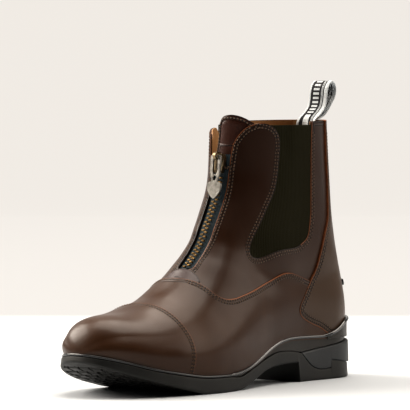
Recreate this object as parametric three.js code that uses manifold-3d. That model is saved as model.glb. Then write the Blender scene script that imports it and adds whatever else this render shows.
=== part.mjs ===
// Paddock boot for the left foot, standing empty on its sole.
// Lengths are in millimetres. +X points to the toe, +Y to the outer (lateral) side and +Z up.
// While the pieces are worked out, x = 0 is the rearmost point of the sole and z = 0 the floor.
// The last lines move the whole boot so that the origin is the middle of the heel's flat face.

import * as THREE from 'three'
import { mergeVertices } from 'three/addons/utils/BufferGeometryUtils.js'
import Module from 'manifold-3d'

const wasm = await Module()
wasm.setup()

// Driving sizes of the last and the boot

const SOLE_LENGTH = 280
const BALL_WIDTH = 97
const HEEL_WIDTH = 66
const BOOT_HEIGHT = 190
const SEAT_HEIGHT = 33
const FORE_THICKNESS = 12.6
const TOE_SPRING = 19.5
const ARCH_RISE = 14.4
const INSTEP_HEIGHT = 121
const TOE_BOX_HEIGHT = 56
const COLLAR_LENGTH = 107
const COLLAR_WIDTH = 66
const BACK_LEAN = 24

// Leather, gaps and steps

const WALL = 2.2
const GAP = 0.3
const VAMP_STEP = 0.5
const CAP_STEP = 1.0
const COUNTER_STEP = 0.8
const GORE_THICKNESS = 1.5
const GORE_SET_BACK = 0.4
const TONGUE_THICKNESS = 1.8
const INSOLE_THICKNESS = 4
const TOE_LEDGE = 4.2
const SIDE_LEDGE = 4
const REAR_LEDGE = 2
const HEEL_LEDGE = 5

// Sole units

const WELT_THICKNESS = 2
const WELT_WIDTH = 9
const WELT_INSET = 0.8
const BEAD_HEIGHT = 2.6
const BEAD_PROUD = 0.8
const CUP_WALL = 1.8
const MIDSOLE_INSET = 1.2
const BREAST_SLOPE = 2
const LUG_PITCH = 9.5
const GROOVE_WIDTH = 3
const TREAD_DEPTH = 2.2
const TREAD_RIM = 5.5
const TREAD_SWEEP = 6
const TREAD_HALF = 58

// Zip, its slider and its pull

const ZIP_MIDDLE = 2
const SLOT_HALF = 7.8
const TAPE_HALF = 12
const TAPE_THICKNESS = 1
const CHAIN_WIDTH = 5.2
const CHAIN_PROUD = 0.2
const SLIDER_WIDTH = 9.2
const SLIDER_LENGTH = 14
const SLIDER_FRONT = 1.6
const BAIL_WIDTH = 2.6
const BAIL_STROKE = 1.2
const BAIL_EYE = 1.8
const BAIL_STAND = 0.6
const BAIL_UP = 5
const BAIL_SINK = 0.4
const PULL_LENGTH = 32
const PULL_WIDTH = 9.6
const PULL_DROP_WIDTH = 13
const PULL_DROP_LENGTH = 12.5
const PULL_NECK_WIDTH = 5.6
const PULL_THICKNESS = 1.5
const PULL_BAR = 1.7
const PULL_SLOT_LENGTH = 12.5
const PULL_SLOT_PLAY = 0.8
const PULL_HOLE = 1.8
const PULL_CORNER = 2
const PULL_NECK_LENGTH = 1.2
const PULL_DROP_ROUND = 3.4
const PULL_TIP_ROUND = 3
const PULL_TAPER = 0.9
const PULL_CLEARANCE = 0.5

// Pull loop and the rest for a spur strap

const WEBBING_WIDTH = 17
const WEBBING_THICKNESS = 1.3
const LOOP_RISE = 31
const LOOP_REACH = 18
const LOOP_SEAM = 2.7
const LOOP_TAIL = 12
const REST_WIDTH = 46
const REST_HEIGHT = 4.2
const REST_PROUD = 2.4

const HALF_BALL = BALL_WIDTH / 2
const HALF_HEEL = HEEL_WIDTH / 2
const HALF_COLLAR = COLLAR_WIDTH / 2

// Plan of the sole: along is a share of its length, middle and ball are shares of half the ball
// width, and heel a share of half the heel width.

const PLAN = [
  { along: 0.00, middle: 0.000, heel: 1.00, ball: 0.000 },
  { along: 0.12, middle: 0.000, heel: 1.00, ball: 0.000 },
  { along: 0.25, middle: 0.016, heel: 0.96, ball: 0.000 },
  { along: 0.38, middle: 0.062, heel: 0.60, ball: 0.250 },
  { along: 0.50, middle: 0.082, heel: 0.25, ball: 0.600 },
  { along: 0.60, middle: 0.052, heel: 0.00, ball: 0.907 },
  { along: 0.68, middle: 0.010, heel: 0.00, ball: 0.985 },
  { along: 0.76, middle: -0.020, heel: 0.00, ball: 0.985 },
  { along: 0.85, middle: -0.045, heel: 0.00, ball: 0.925 },
  { along: 0.93, middle: -0.062, heel: 0.00, ball: 0.860 },
  { along: 1.00, middle: -0.072, heel: 0.00, ball: 0.810 }
]
const HEEL_ROUND = 0.12
const TOE_ROUND = 0.235
const TOE_POWER = 2.3

// Feather edge, where the upper meets the sole: shares of seat height, fore thickness and toe spring

const FEATHER = [
  { along: 0.000, seat: 1.00, fore: 0.00, spring: 0.00 },
  { along: 0.160, seat: 1.00, fore: 0.00, spring: 0.00 },
  { along: 0.310, seat: 1.02, fore: 0.00, spring: 0.00 },
  { along: 0.355, seat: 0.97, fore: 0.00, spring: 0.00 },
  { along: 0.400, seat: 0.80, fore: 0.11, spring: 0.00 },
  { along: 0.455, seat: 0.55, fore: 0.27, spring: 0.00 },
  { along: 0.535, seat: 0.15, fore: 0.78, spring: 0.00 },
  { along: 0.610, seat: 0.00, fore: 1.00, spring: 0.00 },
  { along: 0.700, seat: 0.00, fore: 1.04, spring: 0.00 },
  { along: 0.785, seat: 0.00, fore: 1.07, spring: 0.14 },
  { along: 0.870, seat: 0.00, fore: 1.06, spring: 0.38 },
  { along: 0.930, seat: 0.00, fore: 1.03, spring: 0.66 },
  { along: 1.000, seat: 0.00, fore: 0.95, spring: 1.00 }
]

// Underside of the sole ahead of the heel: shares of the arch rise and of the toe spring

const BREAST_ALONG = 0.285
const FLAT_FROM = 0.6
const FLAT_TO = 0.7
const UNDERSIDE = [
  { along: BREAST_ALONG, arch: 1.00, spring: 0.00 },
  { along: 0.335, arch: 1.00, spring: 0.00 },
  { along: 0.385, arch: 0.94, spring: 0.00 },
  { along: 0.430, arch: 0.81, spring: 0.00 },
  { along: 0.475, arch: 0.55, spring: 0.00 },
  { along: 0.520, arch: 0.24, spring: 0.00 },
  { along: 0.570, arch: 0.03, spring: 0.00 },
  { along: FLAT_FROM, arch: 0.00, spring: 0.00 },
  { along: FLAT_TO, arch: 0.00, spring: 0.00 },
  { along: 0.775, arch: 0.00, spring: 0.12 },
  { along: 0.895, arch: 0.00, spring: 0.47 },
  { along: 0.970, arch: 0.00, spring: 0.81 },
  { along: 1.000, arch: 0.00, spring: 1.00 }
]

// Top line of the outsole's side behind the ball, a wave that dips under the heel block,
// as shares of the seat height; from the toe end to the back, with the step at the dip's end

const WELT_FROM = 0.6
const WAVE = [
  { along: WELT_FROM, up: 0.300 },
  { along: 0.570, up: 0.290 },
  { along: 0.500, up: 0.430 },
  { along: 0.440, up: 0.575 },
  { along: 0.360, up: 0.710 },
  { along: 0.315, up: 0.695 },
  { along: 0.272, up: 0.640 },
  { along: 0.250, up: 0.490 },
  { along: 0.218, up: 0.295 },
  { along: 0.186, up: 0.228 },
  { along: 0.147, up: 0.240 }
]
const STEP_ALONG = 0.146
const STEP_UP = 0.425
const BACK_UP = 0.27
const BLOCK_FRONT = 0.272
const BLOCK_FRONT_UP = 0.640
const BLOCK_BACK_UP = 0.885

// Upper edge of the midsole's cup at the heel, as shares of sole length and seat height

const CUP_EDGE = [
  { along: -0.100, up: 1.340 },
  { along: 0.040, up: 1.330 },
  { along: 0.086, up: 1.285 },
  { along: 0.134, up: 1.080 },
  { along: 0.165, up: 1.000 }
]

// Top line of the foot: shares of the instep height and of the toe box height

const RIDGE = [
  { along: 0.210, instep: 1.000, box: 0.000 },
  { along: 0.465, instep: 1.000, box: 0.000 },
  { along: 0.535, instep: 0.900, box: 0.000 },
  { along: 0.570, instep: 0.815, box: 0.000 },
  { along: 0.600, instep: 0.745, box: 0.000 },
  { along: 0.635, instep: 0.672, box: 0.000 },
  { along: 0.665, instep: 0.545, box: 0.160 },
  { along: 0.700, instep: 0.000, box: 1.228 },
  { along: 0.725, instep: 0.000, box: 1.178 },
  { along: 0.760, instep: 0.000, box: 1.136 },
  { along: 0.815, instep: 0.000, box: 1.046 },
  { along: 0.860, instep: 0.000, box: 1.003 },
  { along: 0.915, instep: 0.000, box: 0.982 },
  { along: 0.950, instep: 0.000, box: 1.000 }
]
const TIP_ROUND = 30
const TIP_FALL = 2.6
const TIP_POWER = 2.2

// Fullness of the foot's sections, and the ridge's sideways place as a share of half the ball width

const FULLNESS = [
  { along: 0.00, power: 2.40, ridge: 0.000 },
  { along: 0.43, power: 3.00, ridge: 0.023 },
  { along: 0.57, power: 2.55, ridge: 0.052 },
  { along: 0.71, power: 2.60, ridge: 0.009 },
  { along: 0.86, power: 3.00, ridge: -0.066 },
  { along: 1.00, power: 2.40, ridge: -0.104 }
]
const SIDE_POWER = 2.15
const SIDE_BULGE = 2.2
const BULGE_SPAN = 0.62
const BULGE_HALF = 20
const WAIST_FROM = 0.4
const WAIST_OVER = 0.25
const HEEL_STEEP = 9000
const TOE_STEEP = 9000

// Back line of the boot: up is a share of the boot height, set a share of the back's lean

const BACK = [
  { up: 0.16, set: 0.070 },
  { up: 0.24, set: 0.145 },
  { up: 0.32, set: 0.265 },
  { up: 0.39, set: 0.405 },
  { up: 0.46, set: 0.600 },
  { up: 0.53, set: 0.735 },
  { up: 0.62, set: 0.830 },
  { up: 0.75, set: 0.875 },
  { up: 0.89, set: 0.940 },
  { up: 1.00, set: 1.020 },
  { up: 1.10, set: 1.050 }
]
const LEAN_FADE = 110
const LEAN_POWER = 1.5

// Level sections of the shaft: front is measured from the back's lean in collar lengths, half is a
// share of half the collar width, and rear and fore are the lengths of the rounded ends

const SHAFT = [
  { up: 0.21, front: 0.804, half: 0.667, rear: 0.374, fore: 0.467 },
  { up: 0.37, front: 0.972, half: 0.850, rear: 0.374, fore: 0.514 },
  { up: 0.47, front: 1.103, half: 0.985, rear: 0.374, fore: 0.543 },
  { up: 0.58, front: 1.178, half: 1.006, rear: 0.393, fore: 0.560 },
  { up: 0.66, front: 1.118, half: 0.988, rear: 0.411, fore: 0.545 },
  { up: 0.74, front: 1.050, half: 0.976, rear: 0.430, fore: 0.533 },
  { up: 0.82, front: 1.024, half: 0.976, rear: 0.449, fore: 0.531 },
  { up: 0.90, front: 1.011, half: 0.982, rear: 0.467, fore: 0.525 },
  { up: 1.00, front: 0.998, half: 1.000, rear: 0.467, fore: 0.527 },
  { up: 1.10, front: 1.010, half: 1.010, rear: 0.467, fore: 0.523 }
]
const SHAFT_POWER = 2.1
const BLEND = 260

// Seams and openings in the side view: along and up are shares of sole length and boot height

const CAP_SEAM = [
  { along: 0.762, up: 0.42 },
  { along: 0.762, up: 0.32 },
  { along: 0.756, up: 0.27 },
  { along: 0.747, up: 0.22 },
  { along: 0.747, up: 0.17 },
  { along: 0.752, up: 0.00 }
]
const VAMP_SEAM = [
  { along: 0.652, up: 0.420 },
  { along: 0.640, up: 0.410 },
  { along: 0.629, up: 0.386 },
  { along: 0.617, up: 0.360 },
  { along: 0.595, up: 0.344 },
  { along: 0.568, up: 0.342 },
  { along: 0.541, up: 0.348 },
  { along: 0.475, up: 0.370 },
  { along: 0.400, up: 0.399 },
  { along: 0.354, up: 0.422 },
  { along: 0.326, up: 0.426 },
  { along: 0.293, up: 0.416 },
  { along: 0.200, up: 0.370 }
]
const COUNTER_SEAM = [
  { along: 0.150, up: 0.170 },
  { along: 0.193, up: 0.204 },
  { along: 0.228, up: 0.221 },
  { along: 0.263, up: 0.243 },
  { along: 0.281, up: 0.264 },
  { along: 0.284, up: 0.291 },
  { along: 0.263, up: 0.336 },
  { along: 0.237, up: 0.388 },
  { along: 0.217, up: 0.430 },
  { along: 0.198, up: 0.507 },
  { along: 0.180, up: 0.570 },
  { along: 0.155, up: 0.640 },
  { along: 0.146, up: 0.740 },
  { along: 0.147, up: 0.860 },
  { along: 0.152, up: 1.050 }
]
const GORE = [
  { along: 0.352, up: 1.040 },
  { along: 0.354, up: 0.880 },
  { along: 0.368, up: 0.757 },
  { along: 0.402, up: 0.672 },
  { along: 0.446, up: 0.576 },
  { along: 0.462, up: 0.527 },
  { along: 0.460, up: 0.500 },
  { along: 0.444, up: 0.489 },
  { along: 0.420, up: 0.492 },
  { along: 0.365, up: 0.514 },
  { along: 0.301, up: 0.522 },
  { along: 0.276, up: 0.536 },
  { along: 0.252, up: 0.562 },
  { along: 0.241, up: 0.620 },
  { along: 0.235, up: 0.700 },
  { along: 0.231, up: 1.040 }
]
const COLLAR = [
  { along: -0.100, up: 1.007 },
  { along: 0.231, up: 1.007 },
  { along: 0.352, up: 1.004 },
  { along: 0.372, up: 1.007 },
  { along: 0.600, up: 1.007 }
]
const GORE_TOP = 0.993

// Throat between the two flaps, seen from the front: up is a share of the boot height, inner and
// outer are the distances from the middle of the zip to the medial and lateral flap, as shares of
// the slot's half width

const THROAT = [
  { up: 0.452, inner: 0.70, outer: 0.70 },
  { up: 0.462, inner: 1.00, outer: 0.95 },
  { up: 0.800, inner: 1.02, outer: 0.96 },
  { up: 0.840, inner: 1.25, outer: 1.00 },
  { up: 0.880, inner: 1.70, outer: 1.07 },
  { up: 0.920, inner: 1.88, outer: 1.20 },
  { up: 0.955, inner: 1.90, outer: 1.55 },
  { up: 0.970, inner: 1.98, outer: 1.80 },
  { up: 0.984, inner: 2.50, outer: 2.20 },
  { up: 0.993, inner: 3.60, outer: 2.65 },
  { up: 1.001, inner: 5.20, outer: 3.30 },
  { up: 1.010, inner: 7.00, outer: 4.40 }
]
const THROAT_BACK = 0.36
const GORE_APART = 8

// Tongue's outline from the front, in the same terms

const TONGUE = [
  { up: 0.500, inner: 1.60, outer: 1.60 },
  { up: 0.560, inner: 2.30, outer: 2.60 },
  { up: 0.840, inner: 2.30, outer: 2.90 },
  { up: 0.900, inner: 1.30, outer: 2.90 },
  { up: 0.990, inner: 1.00, outer: 2.75 },
  { up: 1.006, inner: 0.90, outer: 2.50 },
  { up: 1.018, inner: 0.65, outer: 2.15 },
  { up: 1.027, inner: 0.20, outer: 1.60 },
  { up: 1.031, inner: -0.40, outer: 0.95 }
]
const TAPE_LOW = 0.425
const TAPE_HIGH = 0.885
const CHAIN_LOW = 0.458
const SLIDER_UP = 0.848

// Slider's plate from the front, one side from the foot to the top: shares of its half width and
// half length

const SLIDER_EDGE = [
  { half: 0.62, up: -1.00 },
  { half: 1.00, up: -0.20 },
  { half: 1.00, up: 0.70 },
  { half: 0.70, up: 1.00 }
]

// Pull loop in the side view, from the inner face of the back: forward and up are shares of its
// reach and its rise

const LOOP = [
  { forward: 0.078, up: 0.075 },
  { forward: 0.011, up: 0.139 },
  { forward: -0.217, up: 0.245 },
  { forward: -0.433, up: 0.374 },
  { forward: -0.535, up: 0.548 },
  { forward: -0.567, up: 0.726 },
  { forward: -0.617, up: 0.870 },
  { forward: -0.790, up: 0.978 },
  { forward: -0.967, up: 0.980 },
  { forward: -1.110, up: 0.900 },
  { forward: -1.145, up: 0.765 },
  { forward: -1.072, up: 0.613 },
  { forward: -0.900, up: 0.484 },
  { forward: -0.650, up: 0.310 },
  { forward: -0.400, up: 0.180 },
  { forward: -0.228, up: 0.122 },
  { forward: -0.040, up: 0.092 }
]
const REST_UP = 0.37

// How finely the curved forms are cut into flat facets

const TOE_SECTIONS = 13
const FAN_SECTIONS = 20
const SHAFT_SECTIONS = 6
const SECTION_FACETS = 8
const PLAN_FACETS = 8
const PROFILE_FACETS = 24
const EVEN_SAMPLES = 120
const SEARCH_STEP = 1
const SHARP_HALF = 0.05
const FORM_TOP = 1.08
const SPREAD = 400
const BEYOND = 12

// The surface goes on below the feather edge as a skirt, deepest under the heel, and is cut there

const SKIRT = 8
const HEEL_SKIRT = 24
const SKIRT_FADE = 70
const FAN_ALONG = 0.6
const FAN_UP = 0.79

const clamp = (value, low = 0, high = 1) => Math.min(Math.max(value, low), high)
const mix = (from, to, share) => from + (to - from) * share

// A curve through a table's rows that never overshoots them (monotone cubic), held past its ends

function curveThrough(rows, place, value) {
  const at = rows.map(place)
  const height = rows.map(value)
  const slope = at.slice(1).map((end, i) => (height[i + 1] - height[i]) / (end - at[i]))
  const lean = at.map((_, i) => {
    if (i === 0) return slope[0]
    if (i === at.length - 1) return slope[i - 1]
    if (slope[i - 1] * slope[i] <= 0) return 0
    const before = at[i] - at[i - 1]
    const after = at[i + 1] - at[i]
    const heavy = 2 * after + before
    const light = after + 2 * before
    return (heavy + light) / (heavy / slope[i - 1] + light / slope[i])
  })
  return (wanted) => {
    const x = clamp(wanted, at[0], at[at.length - 1])
    let i = 0
    while (i < at.length - 2 && x > at[i + 1]) i += 1
    const width = at[i + 1] - at[i]
    const t = (x - at[i]) / width
    const start = height[i] * (1 + 2 * t) * (1 - t) ** 2 + lean[i] * width * t * (1 - t) ** 2
    const end = height[i + 1] * t * t * (3 - 2 * t) + lean[i + 1] * width * t * t * (t - 1)
    return start + end
  }
}

const alongSole = (row) => row.along * SOLE_LENGTH
const upBoot = (row) => row.up * BOOT_HEIGHT

const planMiddle = curveThrough(PLAN, (row) => row.along, (row) => row.middle * HALF_BALL)
const planHalf = curveThrough(PLAN, (row) => row.along, (row) => row.heel * HALF_HEEL + row.ball * HALF_BALL)
const feather = curveThrough(FEATHER, alongSole,
  (row) => row.seat * SEAT_HEIGHT + row.fore * FORE_THICKNESS + row.spring * TOE_SPRING)
const underside = curveThrough(UNDERSIDE, alongSole, (row) => row.arch * ARCH_RISE + row.spring * TOE_SPRING)
const ridge = curveThrough(RIDGE, alongSole, (row) => row.instep * INSTEP_HEIGHT + row.box * TOE_BOX_HEIGHT)
const fullness = curveThrough(FULLNESS, alongSole, (row) => row.power)
const ridgeMiddle = curveThrough(FULLNESS, alongSole, (row) => row.ridge * HALF_BALL)
const backLine = curveThrough(BACK, upBoot, (row) => row.set * BACK_LEAN)
const shaftFront = curveThrough(SHAFT, upBoot, (row) => BACK_LEAN + row.front * COLLAR_LENGTH)
const shaftHalf = curveThrough(SHAFT, upBoot, (row) => row.half * HALF_COLLAR)
const shaftRear = curveThrough(SHAFT, upBoot, (row) => row.rear * COLLAR_LENGTH)
const shaftFore = curveThrough(SHAFT, upBoot, (row) => row.fore * COLLAR_LENGTH)

// Rounding of the plan's two ends: 1 along the sole, falling to 0 at heel and toe

function planEnds(share) {
  const heel = clamp(1 - share / HEEL_ROUND)
  const toe = clamp((share - (1 - TOE_ROUND)) / TOE_ROUND)
  return Math.sqrt(1 - heel ** 2) * (1 - toe ** TOE_POWER) ** (1 / TOE_POWER)
}

function footShare(x) {
  return (x - HEEL_LEDGE) / (SOLE_LENGTH - HEEL_LEDGE - TOE_LEDGE)
}

function footHalf(x) {
  const share = clamp(footShare(x))
  const ledge = mix(REAR_LEDGE, SIDE_LEDGE, clamp((share - WAIST_FROM) / WAIST_OVER))
  return (planHalf(share) - ledge) * planEnds(share)
}

function footTop(x) {
  const start = SOLE_LENGTH - TOE_LEDGE - TIP_ROUND
  const share = clamp((x - start) / TIP_ROUND)
  return feather(x) + (ridge(x) - feather(x)) * (1 - share ** TIP_FALL) ** (1 / TIP_POWER)
}

const signedPower = (value, power) => Math.sign(value) * Math.abs(value) ** power

// The last's form: the square of its half width at a place in the side view. The foot's dome and
// the shaft's level ovals run into each other, and the value is below zero outside the boot.

function halfSquared(x, z) {
  const back = backLine(z)
  const fade = clamp(1 - (x - back) / LEAN_FADE) ** LEAN_POWER
  const straight = x - (back - backLine(0)) * fade
  const rise = Math.max((z - feather(x)) / Math.max(footTop(x) - feather(x), 0.001), 0)
  const edge = footHalf(straight)
  const bulge = SIDE_BULGE * Math.sin(Math.PI * clamp(rise / BULGE_SPAN)) * clamp(edge / BULGE_HALF)
  let dome = (edge + bulge) ** 2 * signedPower(1 - rise ** fullness(x), 2 / SIDE_POWER)
  const share = footShare(straight)
  if (share < 0) dome = share * HEEL_STEEP
  if (share > 1) dome = (1 - share) * TOE_STEEP
  const rear = Math.max((back + shaftRear(z) - x) / shaftRear(z), 0)
  const fore = Math.max((x - shaftFront(z) + shaftFore(z)) / shaftFore(z), 0)
  const oval = shaftHalf(z) ** 2 * (1 - rear ** SHAFT_POWER - fore ** SHAFT_POWER)
  const blend = clamp(0.5 + 0.5 * (dome - oval) / BLEND)
  return mix(oval, dome, blend) + BLEND * blend * (1 - blend)
}

function sectionMiddle(x, z) {
  const rise = clamp((z - feather(x)) / Math.max(footTop(x) - feather(x), 0.001))
  return mix(planMiddle(clamp(footShare(x))), ridgeMiddle(x), rise)
}

const skirtLine = (x) => feather(x) - mix(HEEL_SKIRT, SKIRT, clamp(x / SKIRT_FADE))

// Where a level section has a given half width, found by halving between two places

function placeOfHalf(z, half, within, beyond) {
  for (let i = 0; i < 40; i += 1) {
    const middle = (within + beyond) / 2
    if (halfSquared(middle, z) > half ** 2) within = middle
    else beyond = middle
  }
  return within
}

const frontAt = (z) => placeOfHalf(z, 0, shaftFront(z) - shaftFore(z), SOLE_LENGTH)
const backAt = (z, half) => placeOfHalf(z, half, backLine(z) + shaftRear(z), -BACK_LEAN)

// Section lines in the side view: upright at the toe, then fanning round the ankle, then level

function sectionLines() {
  const lines = []
  const tip = SOLE_LENGTH - TOE_LEDGE
  const fan = new THREE.Vector2(FAN_ALONG * SOLE_LENGTH, FAN_UP * BOOT_HEIGHT)
  for (let i = 0; i < TOE_SECTIONS - 1; i += 1) {
    const angle = mix(0.02, Math.PI / 2, i / (TOE_SECTIONS - 1))
    const x = tip - (tip - fan.x) * (1 - Math.cos(angle))
    lines.push({ from: new THREE.Vector2(x, skirtLine(x)), way: new THREE.Vector2(0, 1), topLast: true })
  }
  for (let i = 0; i < FAN_SECTIONS; i += 1) {
    const angle = -Math.PI / 2 * (1 + i / (FAN_SECTIONS - 1))
    lines.push({ from: fan, way: new THREE.Vector2(Math.cos(angle), Math.sin(angle)), topLast: false })
  }
  for (let i = 1; i <= SHAFT_SECTIONS; i += 1) {
    const z = mix(fan.y, FORM_TOP * BOOT_HEIGHT, i / SHAFT_SECTIONS)
    lines.push({ from: new THREE.Vector2(-BEYOND, z), way: new THREE.Vector2(1, 0), topLast: true })
  }
  return lines
}

// The first and last place on a line that lie inside the form, worked out by halving

function insideSpan(line) {
  const at = (reach) => line.from.clone().addScaledVector(line.way, reach)
  const inside = (reach) => {
    const spot = at(reach)
    return spot.y >= skirtLine(spot.x) - 1e-9 && halfSquared(spot.x, spot.y) > 0
  }
  const hits = []
  for (let reach = 0; reach < SOLE_LENGTH; reach += SEARCH_STEP) {
    if (inside(reach)) hits.push(reach)
  }
  const halve = (within, beyond) => {
    for (let i = 0; i < 30; i += 1) {
      const half = (within + beyond) / 2
      if (inside(half)) within = half
      else beyond = half
    }
    return within
  }
  const first = hits[0] === 0 ? 0 : halve(hits[0], hits[0] - SEARCH_STEP)
  const last = halve(hits[hits.length - 1], hits[hits.length - 1] + SEARCH_STEP)
  const ends = [at(first), at(last)]
  return line.topLast ? ends : ends.reverse()
}

// One section from its lower or rear end to its top, spaced evenly along the surface

function halfSection([bottom, top]) {
  const samples = []
  for (let i = 0; i <= EVEN_SAMPLES; i += 1) {
    const share = (1 - Math.cos(Math.PI * i / EVEN_SAMPLES)) / 2
    const spot = bottom.clone().lerp(top, share)
    const half = i === EVEN_SAMPLES ? 0 : Math.sqrt(Math.max(halfSquared(spot.x, spot.y), 0))
    samples.push({ x: spot.x, half: half < SHARP_HALF ? 0 : half, z: spot.y })
  }
  const reach = [0]
  for (let i = 1; i <= EVEN_SAMPLES; i += 1) {
    const a = samples[i - 1]
    const b = samples[i]
    reach.push(reach[i - 1] + Math.hypot(b.x - a.x, b.half - a.half, b.z - a.z))
  }
  const even = []
  let i = 1
  for (let k = 0; k <= SECTION_FACETS; k += 1) {
    const wanted = reach[EVEN_SAMPLES] * k / SECTION_FACETS
    while (i < EVEN_SAMPLES && reach[i] < wanted) i += 1
    const share = clamp((wanted - reach[i - 1]) / (reach[i] - reach[i - 1]))
    const a = samples[i - 1]
    const b = samples[i]
    even.push({ x: mix(a.x, b.x, share), half: mix(a.half, b.half, share), z: mix(a.z, b.z, share) })
  }
  return even
}

// The form's surface as a grid: each row runs over the boot from the lateral to the medial edge

const lastRows = sectionLines().map((line) => {
  const lateral = halfSection(insideSpan(line))
  const place = (spot, side) => {
    return new THREE.Vector3(spot.x, sectionMiddle(spot.x, spot.z) + side * spot.half, spot.z)
  }
  const medial = lateral.slice(0, -1).reverse()
  return [...lateral.map((spot) => place(spot, 1)), ...medial.map((spot) => place(spot, -1))]
})
const COLUMNS = 2 * SECTION_FACETS

function surfaceFaces() {
  const faces = []
  for (let i = 0; i < lastRows.length - 1; i += 1) {
    for (let j = 0; j < COLUMNS; j += 1) {
      faces.push([[i, j], [i + 1, j], [i, j + 1]])
      faces.push([[i + 1, j], [i + 1, j + 1], [i, j + 1]])
    }
  }
  return faces
}

function capFaces() {
  const faces = []
  const end = lastRows.length - 1
  for (let i = 0; i < end; i += 1) {
    faces.push([[i, 0], [i, COLUMNS], [i + 1, 0]])
    faces.push([[i + 1, 0], [i, COLUMNS], [i + 1, COLUMNS]])
  }
  for (let j = 0; j < SECTION_FACETS; j += 1) {
    const far = COLUMNS - j
    faces.push([[end, j], [end, far], [end, j + 1]])
    faces.push([[end, j + 1], [end, far], [end, far - 1]])
    faces.push([[0, j], [0, j + 1], [0, far]])
    faces.push([[0, j + 1], [0, far - 1], [0, far]])
  }
  return faces
}

function surfaceNormals() {
  const normals = lastRows.map((row) => row.map(() => new THREE.Vector3()))
  for (const face of surfaceFaces()) {
    const [a, b, c] = face.map(([i, j]) => lastRows[i][j])
    const turned = b.clone().sub(a).cross(c.clone().sub(a))
    face.forEach(([i, j]) => normals[i][j].add(turned))
  }
  for (const [i, row] of normals.entries()) {
    const closed = lastRows[i][0].distanceTo(lastRows[i][COLUMNS]) < 0.001
    if (closed) {
      const shared = row[0].clone().add(row[COLUMNS])
      row[0].copy(shared)
      row[COLUMNS].copy(shared)
    }
    row.forEach((normal) => normal.normalize())
  }
  return normals
}
const lastNormals = surfaceNormals()

// Solids for cutting and joining

function solidOf(geometry) {
  const plain = geometry.clone()
  for (const name of Object.keys(plain.attributes)) {
    if (name !== 'position') plain.deleteAttribute(name)
  }
  const merged = mergeVertices(plain, 0.0005)
  const corners = merged.index.array
  const kept = []
  for (let i = 0; i < corners.length; i += 3) {
    const [a, b, c] = corners.slice(i, i + 3)
    if (a !== b && b !== c && c !== a) kept.push(a, b, c)
  }
  const mesh = new wasm.Mesh({
    numProp: 3,
    vertProperties: new Float32Array(merged.attributes.position.array),
    triVerts: new Uint32Array(kept)
  })
  return new wasm.Manifold(mesh)
}

// The last's form grown outwards by a distance, or shrunk where it is below zero

function form(grow) {
  const positions = []
  for (const face of [...surfaceFaces(), ...capFaces()]) {
    for (const [i, j] of face) {
      const spot = lastRows[i][j].clone().addScaledVector(lastNormals[i][j], grow)
      positions.push(spot.x, spot.y, spot.z)
    }
  }
  const geometry = new THREE.BufferGeometry()
  geometry.setAttribute('position', new THREE.Float32BufferAttribute(positions, 3))
  return solidOf(geometry)
}

function shell(outer, inner) {
  return form(outer).subtract(form(inner))
}

function prism(points, depth) {
  const shape = new THREE.Shape(points.map(([a, b]) => new THREE.Vector2(a, b)))
  return new THREE.ExtrudeGeometry(shape, { depth, bevelEnabled: false, steps: 1 })
}

// Prisms with an outline in the side view (x, z), the plan (x, y) or the front view (y, z)

function sidePrism(points, from = -SPREAD, to = SPREAD) {
  return solidOf(prism(points, to - from).rotateX(Math.PI / 2).translate(0, to, 0))
}

function planPrism(points, from = -SPREAD, to = SPREAD) {
  return solidOf(prism(points, to - from).translate(0, 0, from))
}

function frontPrism(points, from, to) {
  const turn = new THREE.Matrix4().makeBasis(
    new THREE.Vector3(0, 1, 0),
    new THREE.Vector3(0, 0, 1),
    new THREE.Vector3(1, 0, 0)
  )
  return solidOf(prism(points, to - from).applyMatrix4(turn).translate(from, 0, 0))
}

function sideCurve(rows, facets) {
  const points = rows.map((row) => new THREE.Vector2(alongSole(row), upBoot(row)))
  return new THREE.SplineCurve(points).getPoints(facets).map((spot) => [spot.x, spot.y])
}

function profile(height, from, to) {
  const points = []
  for (let i = 0; i <= PROFILE_FACETS; i += 1) {
    const x = mix(from, to, i / PROFILE_FACETS)
    points.push([x, height(x)])
  }
  return points
}

const FINISH = {
  leather: { color: 0x3a211a, roughness: 0.42, metalness: 0 },
  elastic: { color: 0x1b1a12, roughness: 0.9, metalness: 0 },
  tape: { color: 0x2b3438, roughness: 0.85, metalness: 0 },
  brass: { color: 0x8a6a35, roughness: 0.4, metalness: 1 },
  nickel: { color: 0xa9a294, roughness: 0.35, metalness: 1 },
  lining: { color: 0x8d6a48, roughness: 0.8, metalness: 0 },
  rubber: { color: 0x1b1b1c, roughness: 0.6, metalness: 0 },
  gloss: { color: 0x121213, roughness: 0.3, metalness: 0 },
  midsole: { color: 0x262321, roughness: 0.45, metalness: 0 },
  block: { color: 0x2a2b2e, roughness: 0.5, metalness: 0 },
  webbing: { color: 0xb9b7b0, roughness: 0.85, metalness: 0 }
}

function mesh(name, geometry, finish) {
  const piece = new THREE.Mesh(geometry, new THREE.MeshStandardMaterial(finish))
  piece.name = name
  return piece
}

function geometryOf(solid) {
  const result = solid.getMesh()
  const geometry = new THREE.BufferGeometry()
  geometry.setAttribute('position', new THREE.BufferAttribute(new Float32Array(result.vertProperties), 3))
  geometry.setIndex(new THREE.BufferAttribute(new Uint32Array(result.triVerts), 1))
  geometry.computeVertexNormals()
  return geometry
}

// Seam regions, shared by the upper and the pieces that fit it

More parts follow.
